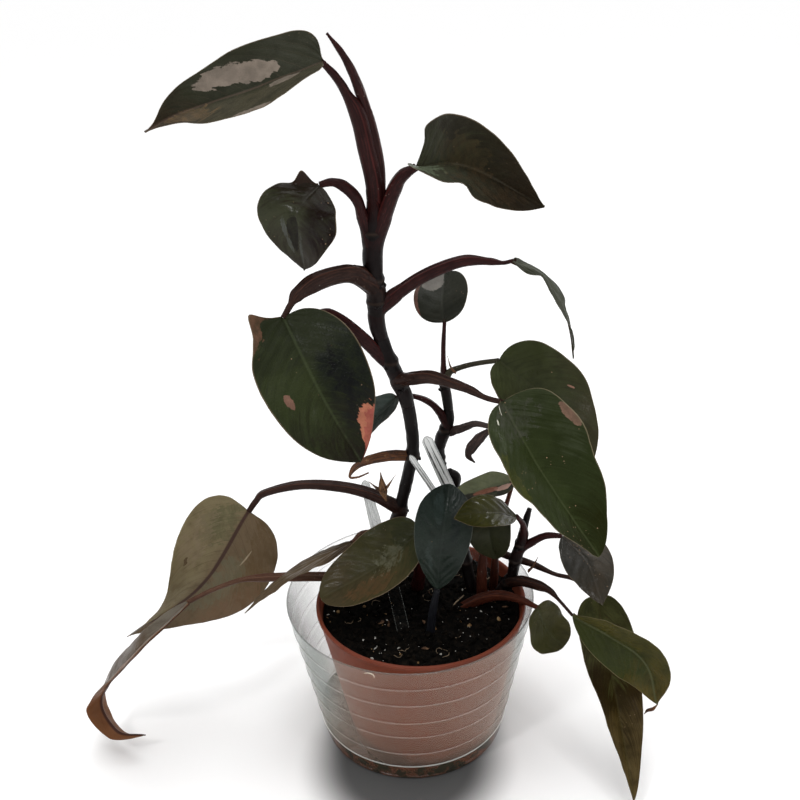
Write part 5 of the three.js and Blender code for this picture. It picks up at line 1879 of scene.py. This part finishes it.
@dataclass(frozen=True)
class ClearPot:
    """The clear outer pot: thin, tapered, with moulded hoops and a step at its foot."""

    rim_radius: float = 82.0
    base_radius: float = 62.0
    height: float = 105.0
    wall: float = 1.0
    floor: float = 1.2
    foot_bevel: float = 2.0
    hoops: tuple[float, ...] = (13.4, 27.0, 44.0, 58.0, 75.0, 90.0)
    hoop_rise: float = 0.4
    hoop_half: float = 0.75
    brim: float = 1.1  # how far down the round brim reaches
    # how far it lies in from its edge and down from its top
    brim_curve: tuple[Pair, ...] = ((0.0, 0.5), (0.2, 0.1), (0.5, 0.0), (0.8, 0.1), (1.0, 0.5))
    sides: int = 144

    def radius(self, height: float) -> float:
        """Outer radius at a height."""
        return self.base_radius + (self.rim_radius - self.base_radius) * height / self.height

    def hoop_outline(self, hoop: float, steps: int, rise: float, inset: float) -> list[Pair]:
        """Outline of one moulded hoop, from below it to above it.

        Args:
            hoop: Height of its middle.
            steps: Points from its middle to its end, and one more follows.
            rise: How far it stands out.
            inset: How far in from the outer wall it lies.

        Returns:
            Radius and height of each point.
        """
        points = []
        for k in range(-steps - 1, steps + 2):
            off = k / steps * 1.6 * self.hoop_half
            lift = rise * (0.5 + 0.5 * math.cos(math.pi * min(abs(k), steps) / steps))
            points.append((self.radius(hoop + off) - inset + lift, hoop + off))
        return points

    def build(self) -> None:
        """Spin the pot's wall and floor, and stick a stray fibre to the wall."""
        bend = self.base_radius - self.foot_bevel
        outline = [(0.0, 0.0), (bend - 6, 0.0), (bend, 0.0)]
        for k in range(1, 5):
            angle = math.pi / 2 * k / 4
            out = self.foot_bevel * math.sin(angle)
            up = self.foot_bevel * (1 - math.cos(angle))
            outline.append((self.radius(up) - self.foot_bevel + out, up))
        for hoop in self.hoops:
            outline += self.hoop_outline(hoop, 4, self.hoop_rise, 0.0)
        edge, under = self.radius(self.height), self.height - self.brim
        outline.append((self.radius(under), under))
        outline += [(edge - back, self.height - down) for back, down in self.brim_curve]
        outline.append((self.radius(under) - self.wall, under))
        for hoop in reversed(self.hoops):
            outline += reversed(self.hoop_outline(hoop, 3, self.hoop_rise * 0.7, self.wall))
        outline += [(self.radius(self.floor) - self.wall - 1, self.floor), (0.0, self.floor)]
        bm = lathe(outline, (0.0, 0.0), self.sides)
        moulded = bm.verts.layers.float.new("moulded")
        brim = bm.verts.layers.float.new("brim")
        for vert in bm.verts:
            height = vert.co.z / MM
            # where a painted highlight runs along each hoop, strongest at the lowest one
            if math.hypot(vert.co.x, vert.co.y) / MM > self.radius(height) - 0.4:
                vert[moulded] = sum(bell(height, hoop + 0.3, 0.26) for hoop in self.hoops[1:])
                vert[moulded] += 2.4 * bell(height, self.hoops[0] + 0.4, 0.45)
            vert[brim] = 1.0 if height > self.height - 0.6 else 0.0
        settle(new_piece("clear_pot_wall", bm, CLEAR_POT_SKIN.name), "clear_outer_pot")
        fibre = Limb(
            ((-29.5, -77.2, 103), (-26.5, -78.4, 104.2), (-23.8, -79.2, 103.4), (-23.2, -78.8, 100.6)),
            (0.12, 0.3, 0.3, 0.12),
        )
        stuck = new_piece("fibre_on_the_wall", fibre.build(8, 0.5), PALE_FIBRE.name)
        settle(stuck, "clear_outer_pot", stands_for=False)


@dataclass(frozen=True)
class TerracottaFinish:
    """Terracotta-coloured plastic with scuffs, dark splashes and painted shade on its lip."""

    name: str = "terracotta_plastic_skin"
    body: Colour = (0.185, 0.044, 0.021)
    light: Colour = (0.225, 0.064, 0.035)
    splash: Colour = (0.045, 0.018, 0.011)

    def material(self) -> None:
        """Build the material."""
        shader = Shader(self.name)
        place = shader.place()
        cloud = shader.noise(place, scale=30.0, detail=4.0, rough=0.6)
        colour = shader.blend(shader.rise(cloud, 0.4, 0.7, end=0.8), self.body, self.light)
        drip = shader.noise(shader.drawn_out(place, 0.25), scale=170.0, detail=4.0, rough=0.7)
        colour = shader.blend(shader.rise(drip, 0.66, 0.74, end=0.7), colour, self.splash)
        height = shader.axis(place, "Z")
        low = height + shader.rise(cloud, 0.2, 0.8, start=-0.006, end=0.006)
        colour = shader.blend(shader.rise(low, 0.02, 0.008, end=0.55), colour, self.splash)
        # painted shade: the lip darker red
        colour = shader.blend(shader.rise(height, 0.0985, 0.1045, end=0.6), colour, Tone.LIP_PAINTED_SHADE)
        shader.relief(shader.noise(place, scale=240.0), strength=0.12, distance=0.0005)
        rough = shader.rise(cloud, 0.35, 0.7, start=0.38, end=0.55)
        shader.dress(Base_Color=colour, Roughness=rough, Specular_IOR_Level=0.16)


TERRACOTTA = TerracottaFinish()


@dataclass(frozen=True)
class NurseryPot:
    """The terracotta-coloured nursery pot, off centre inside the clear one, with drain holes."""

    axis: Pair = (7.0, -9.0)
    lip_radius: float = 68.8
    body_radius: float = 67.8
    base_radius: float = 48.5
    top: float = 106.0
    lip_height: float = 3.0
    wall: float = 1.2
    floor: float = 1.2
    foot: float = 1.5
    drains: int = 6
    drain_radius: float = 4.0
    drain_ring: float = 36.0
    sides: int = 144

    def room(self, height: float) -> float:
        """Radius of the room inside at a height."""
        share = (height - self.foot - self.floor) / (self.top - self.foot - self.floor)
        return self.base_radius - self.wall + (self.body_radius - self.base_radius) * share

    def build(self) -> None:
        """Spin the pot and open its drain holes."""
        lip, floor = self.top - self.lip_height, self.foot + self.floor
        inside = self.body_radius - self.wall
        near, far = self.drain_ring - 6, self.drain_ring + 6
        outline = [
            (0.0, self.foot), (near, self.foot), (far, self.foot), (self.base_radius - 1.0, self.foot),
            (self.base_radius - 0.3, self.foot + 0.3), (self.base_radius, self.foot + 1.0),
            (self.body_radius, lip), (self.body_radius + 0.6, lip + 0.15), (self.lip_radius, lip + 0.7),
            (self.lip_radius, self.top - 0.9), (self.lip_radius - 0.25, self.top - 0.25),
            (self.lip_radius - 0.9, self.top), (inside + 0.5, self.top), (inside, self.top - 0.5),
            (self.room(lip), lip), (self.base_radius - self.wall, floor), (far, floor), (near, floor),
            (0.0, floor),
        ]
        bm = lathe(outline, self.axis, self.sides)
        piece = new_piece("nursery_pot_wall", bm, TERRACOTTA.name)
        self.open_drains(piece)
        settle(piece, "nursery_pot")

    def open_drains(self, piece: bpy.types.Object) -> None:
        """Cut the drain holes through the pot's floor.

        Args:
            piece: The pot.
        """
        bm = bmesh.new()
        for k in range(self.drains):
            turn = 2 * math.pi * k / self.drains
            out = Vector((math.cos(turn), math.sin(turn), 0.0)) * self.drain_ring
            place = (Vector((*self.axis, self.foot)) + out) * MM
            radius = self.drain_radius * MM
            bmesh.ops.create_cone(
                bm, cap_ends=True, segments=32, radius1=radius, radius2=radius,
                depth=4 * self.floor * MM, matrix=Matrix.Translation(place),
            )
        cutter = new_piece("drain_cutter", bm, TERRACOTTA.name)
        cut = piece.modifiers.new("drains", "BOOLEAN")
        cut.operation = "DIFFERENCE"
        cut.object = cutter
        opened = bmesh.new()
        opened.from_object(piece, bpy.context.evaluated_depsgraph_get())
        opened.to_mesh(piece.data)
        opened.free()
        piece.modifiers.clear()
        bpy.data.objects.remove(cutter)


@dataclass(frozen=True)
class MixFinish:
    """Damp crumbs of one colour."""

    name: str
    body: Colour
    light: Colour
    rough: float = 0.85
    shine: float = 0.3

    def material(self) -> None:
        """Build the material."""
        shader = Shader(self.name)
        place = shader.place()
        spots = shader.rise(shader.noise(place, scale=300.0, detail=4.0, rough=0.7), 0.45, 0.68)
        colour = shader.blend(spots, self.body, self.light)
        grain = shader.noise(place, scale=900.0, detail=4.0, rough=0.7)
        shader.relief(grain, strength=0.6, distance=0.0008)
        shader.dress(Base_Color=colour, Roughness=self.rough, Specular_IOR_Level=self.shine)


PEAT = MixFinish("peat", (0.0014, 0.0011, 0.0008), (0.0085, 0.006, 0.004), shine=0.06)
PERLITE = MixFinish("perlite", (0.4, 0.39, 0.35), (0.82, 0.81, 0.76))
CHIP = MixFinish("bark_chips", (0.055, 0.026, 0.013), (0.15, 0.085, 0.045))
HUSK = MixFinish("husk_bits", (0.16, 0.085, 0.03), (0.42, 0.3, 0.15), rough=0.5)
ROOT = MixFinish("root_fibres", (0.17, 0.12, 0.075), (0.34, 0.26, 0.17), rough=0.6)
PALE_FIBRE = MixFinish("pale_fibre", (0.62, 0.56, 0.46), (0.85, 0.8, 0.7), rough=0.6)


@dataclass(frozen=True)
class PottingMix:
    """The potting mix, with crumbs, perlite, bark chips and root fibres on top."""

    pot: NurseryPot = NurseryPot()
    edge_level: float = 98.5
    crown: float = 1.5
    uneven: float = 1.1
    bumps: tuple[Pair, ...] = ((1.0, 0.05), (0.6, 0.16), (0.35, 0.5))  # share, fineness
    crumbs: int = 900
    grains: int = 150
    husks: int = 50
    chips: int = 16
    curls: int = 26
    curl_sweep: Pair = (1.5, 4.5)
    curl_radius: Pair = (1.6, 4.2)
    rings: int = 34
    sides: int = 120
    clear: float = 0.4  # between the mix and the pot's wall

    def level(self, x: float, y: float) -> float:
        """Height of the mix at a place.

        Args:
            x: How far right of the pot's axis.
            y: How far behind it.

        Returns:
            The height.
        """
        reach = math.hypot(x, y) / self.pot.room(self.edge_level)
        place = Vector((x, y, 0.0))
        bumps = sum(share * noise.noise(place * fine) for share, fine in self.bumps)
        return self.edge_level + self.crown * (1 - reach * reach) + self.uneven * bumps

    def spread(self, draw: random.Random, edge: float) -> Pair:
        """A random place on the mix, given from the pot's axis."""
        radius, turn = edge * math.sqrt(draw.random()), draw.uniform(0, 2 * math.pi)
        return radius * math.cos(turn), radius * math.sin(turn)

    def on_top(self, x: float, y: float, lift: float) -> Vector:
        """Point above the mix, at a place given from the pot's axis."""
        return Vector((x + self.pot.axis[0], y + self.pot.axis[1], self.level(x, y) + lift))

    def build_body(self) -> None:
        """Spin the mix's body and raise its top."""
        shoulder = self.edge_level - 3
        edge = self.pot.room(shoulder) - self.clear
        bottom = self.pot.foot + self.pot.floor + 0.3
        outline = [(0.0, bottom), (self.pot.room(bottom) - self.clear, bottom), (edge, shoulder)]
        outline += [(edge * k / self.rings, self.edge_level) for k in range(self.rings, -1, -1)]
        bm = lathe(outline, self.pot.axis, self.sides)
        for vert in bm.verts:
            if vert.co.z > (self.edge_level - 0.01) * MM:
                x = vert.co.x / MM - self.pot.axis[0]
                y = vert.co.y / MM - self.pot.axis[1]
                vert.co.z = self.level(x, y) * MM
        settle(new_piece("potting_mix_body", bm, PEAT.name), "potting_soil")

    def strew(self, name: str, finish: MixFinish, count: int, size: Pair, flat: float, seed: int) -> None:
        """Strew bits on the mix.

        Args:
            name: Name of the piece that holds them.
            finish: Their finish.
            count: How many there are.
            size: Smallest and largest half length.
            flat: Their least half height over their half length.
            seed: Start of the random numbers.
        """
        draw = random.Random(seed)
        bm = bmesh.new()
        for _ in range(count):
            big = size[0] + (size[1] - size[0]) * draw.random() ** 2.2
            x, y = self.spread(draw, self.pot.room(self.edge_level) - big - 0.6)
            place = self.on_top(x, y, big * flat * 0.3)
            shape = (big, big * draw.uniform(0.55, 0.95), big * draw.uniform(flat, min(1.0, flat * 1.6)))
            add_lump(bm, place, shape, random_turn(draw), 1 if big < 1.4 else 2, 0.45)
        piece = new_piece(name, bm, finish.name, smooth=False)
        settle(piece, "potting_soil", stands_for=False)

    def build_roots(self) -> None:
        """Lay thin root fibres and a twig over the mix."""
        runs = (
            ((29, 9), (23, 0), (19, -8)),
            ((54, 34), (43, 21), (42, 7), (34, -3)),
            ((-31, 11), (-37, 27), (-29, 35), (-23, 23)),
            ((-7, 39), (5, 31), (15, 33)),
        )
        bm = bmesh.new()
        for run in runs:
            path = tuple(tuple(self.on_top(x, y, 1.0)) for x, y in run)
            add_mesh(bm, Limb(path, (0.4, 0.5, 0.4, 0.2)).build(10, 1.5))
        draw = random.Random(15)
        for _ in range(self.curls):
            x, y = self.spread(draw, self.pot.room(self.edge_level) - 8)
            start, sweep = draw.uniform(0, 6.28), draw.uniform(*self.curl_sweep)
            radius = draw.uniform(*self.curl_radius)
            curl = []
            for k in range(7):
                turn = start + sweep * k / 6
                a, b = x + radius * math.cos(turn), y + radius * math.sin(turn)
                rise = 0.9 + 1.6 * math.sin(math.pi * k / 6) * draw.random()
                curl.append(tuple(self.on_top(a, b, rise)))
            add_mesh(bm, Limb(tuple(curl), (0.12, 0.17, 0.15, 0.09)).build(8, 0.8))
        settle(new_piece("root_fibres_laid", bm, ROOT.name), "potting_soil", stands_for=False)

    def build(self) -> None:
        """Make the mix and all that lies on it."""
        self.build_body()
        self.strew("peat_crumbs", PEAT, self.crumbs, (0.8, 3.4), 0.5, 11)
        self.strew("perlite_grains", PERLITE, self.grains, (0.22, 1.5), 0.3, 12)
        self.strew("husk_grains", HUSK, self.husks, (0.5, 1.9), 0.5, 14)
        self.strew("bark_chips_laid", CHIP, self.chips, (1.4, 3.6), 0.25, 13)
        self.build_roots()


# ------------------------ stage


@dataclass(frozen=True)
class Softbox:
    """An area light: its place, what it looks at, its size and its power."""

    name: str
    place: Point
    target: Point
    size: float
    power: float

    def build(self) -> None:
        """Hang the light."""
        light = bpy.data.lights.new(self.name, "AREA")
        light.shape = "DISK"
        light.size = self.size
        light.energy = self.power
        lamp = bpy.data.objects.new(self.name, light)
        lamp.location = self.place
        lamp.visible_camera = False
        lamp.rotation_euler = (Vector(self.target) - Vector(self.place)).to_track_quat("-Z", "Y").to_euler()
        bpy.context.scene.collection.objects.link(lamp)


@dataclass(frozen=True)
class Stage:
    """Floor, lights, world and camera."""

    floor_radius: float = 40.0
    paleness: float = 0.99
    # A shadow painted on the floor, darkest a little in front of the pot's foot.
    shade: float = 0.1  # how light the floor stays under the painted shadow right before the pot's foot
    painted_shadow_off: Point = (0.005, 0.045, 0.0)  # from that painted shadow's middle to the pot's
    painted_shadow_reach: Pair = (0.04, 0.078)
    horizon: float = 0.2  # brightness of the surroundings low down
    zenith: float = 2.9  # and overhead
    zenith_power: float = 5.0  # how late it rises from one to the other
    backdrop: float = 0.8  # what the pale band behind the floor's edge adds
    band_ends: Pair = (0.15, 0.26)  # heights between which that band fades
    lights: tuple[Softbox, ...] = (
        Softbox("overhead", (0.05, 0.15, 1.7), (0.0, 0.0, 0.25), 0.9, 4.0),
        Softbox("window", (-0.79, -0.94, 1.33), (0.0, 0.0, 0.25), 0.18, 4.5),
        Softbox("side_window", (1.07, -1.04, 0.9), (0.0, 0.0, 0.25), 0.14, 2.2),
        Softbox("rim_window", (1.12, 0.72, 0.5), (0.0, 0.0, 0.2), 0.24, 2.5),
    )
    camera_place: Point = (-0.00206, -0.5459, 0.5078)
    pitch: float = 25.6  # degrees below the horizon
    roll: float = -2.0
    lens: float = 45.0

    def build_floor(self) -> None:
        """Lay the pale floor, with a shadow painted in front of the pot's foot."""
        bm = bmesh.new()
        bmesh.ops.create_circle(bm, cap_ends=True, radius=self.floor_radius, segments=96)
        shader = Shader("pale_floor_painted_shadow")
        # a shadow painted on the floor, darkest a little in front of the pot's foot
        ahead = shader.add("VectorMath", {0: shader.place(), 1: self.painted_shadow_off})
        near = shader.rise(shader.reach(ahead), *self.painted_shadow_reach, start=self.shade)
        colour = shader.blend(near, (0.0, 0.0, 0.0), (self.paleness, self.paleness, self.paleness))
        material = shader.dress(Base_Color=colour, Roughness=0.9, Specular_IOR_Level=0.0)
        new_piece("floor", bm, material.name, smooth=False)

    def build_camera(self) -> None:
        """Set up the camera."""
        pitch, roll = math.radians(self.pitch), math.radians(self.roll)
        forward = Vector((0.0, math.cos(pitch), -math.sin(pitch)))
        up = Vector((0.0, math.sin(pitch), math.cos(pitch)))
        right = Vector((1.0, 0.0, 0.0))
        level = right * math.cos(roll) + up * math.sin(roll)
        upright = up * math.cos(roll) - right * math.sin(roll)
        camera = bpy.data.objects.new("camera", bpy.data.cameras.new("camera"))
        camera.data.lens = self.lens
        camera.data.sensor_width = 36.0
        turn = Matrix((level, upright, -forward)).transposed()
        camera.matrix_world = Matrix.Translation(self.camera_place) @ turn.to_4x4()
        bpy.context.scene.collection.objects.link(camera)
        bpy.context.scene.camera = camera

    def build_world(self) -> None:
        """Fill the surroundings with soft white light that comes mostly from above."""
        world = bpy.data.worlds.new("studio")
        world.use_nodes = True
        nodes = Nodes(world.node_tree)
        sky = world.node_tree.nodes["Background"]
        height = nodes.axis(nodes.add("TexCoord", {}, output="Generated"), "Z")
        ends = {"Value": height**self.zenith_power, "To Min": self.horizon, "To Max": self.zenith}
        band = nodes.rise(height, *self.band_ends, start=self.backdrop, end=0.0)
        nodes.put(sky, "Color", (1.0, 1.0, 1.0))
        nodes.put(sky, "Strength", nodes.add("MapRange", ends) + band)
        bpy.context.scene.world = world

    def build(self) -> None:
        """Set the stage."""
        self.build_floor()
        self.build_world()
        self.build_camera()
        for light in self.lights:
            light.build()
        bpy.context.scene.view_settings.view_transform = "Standard"


# ------------------------ the plant


def main() -> None:
    """Build the plant with its pots on the stage."""
    logging.basicConfig(level=logging.INFO, format="%(name)s %(message)s")
    finishes = (
        MAROON_STALK, BROWN_STALK, RUSTY_STALK, TAN_STALK, OLIVE_STALK, BLUE_STALK, SPIKE_SKIN, STEM_BARK,
        CLEAR_POT_SKIN, STAKE_SKIN, SUNK_STAKE_SKIN, DRY_SKIN, WITHERED_SKIN, STRAW_SKIN, TERRACOTTA,
        PEAT, PERLITE, CHIP, HUSK, ROOT, PALE_FIBRE,
    )
    for finish in finishes:
        finish.material()
    ClearPot().build()
    NurseryPot().build()
    PottingMix().build()
    for part in (*STEMS, Spike(), *STAKES, *DRY_PIECES):
        part.build()
    for leaf in LEAVES:
        leaf.build_petiole()
        leaf.build_blade()
    Stage().build()
    bpy.context.view_layer.update()


if __name__ == "__main__":
    main()
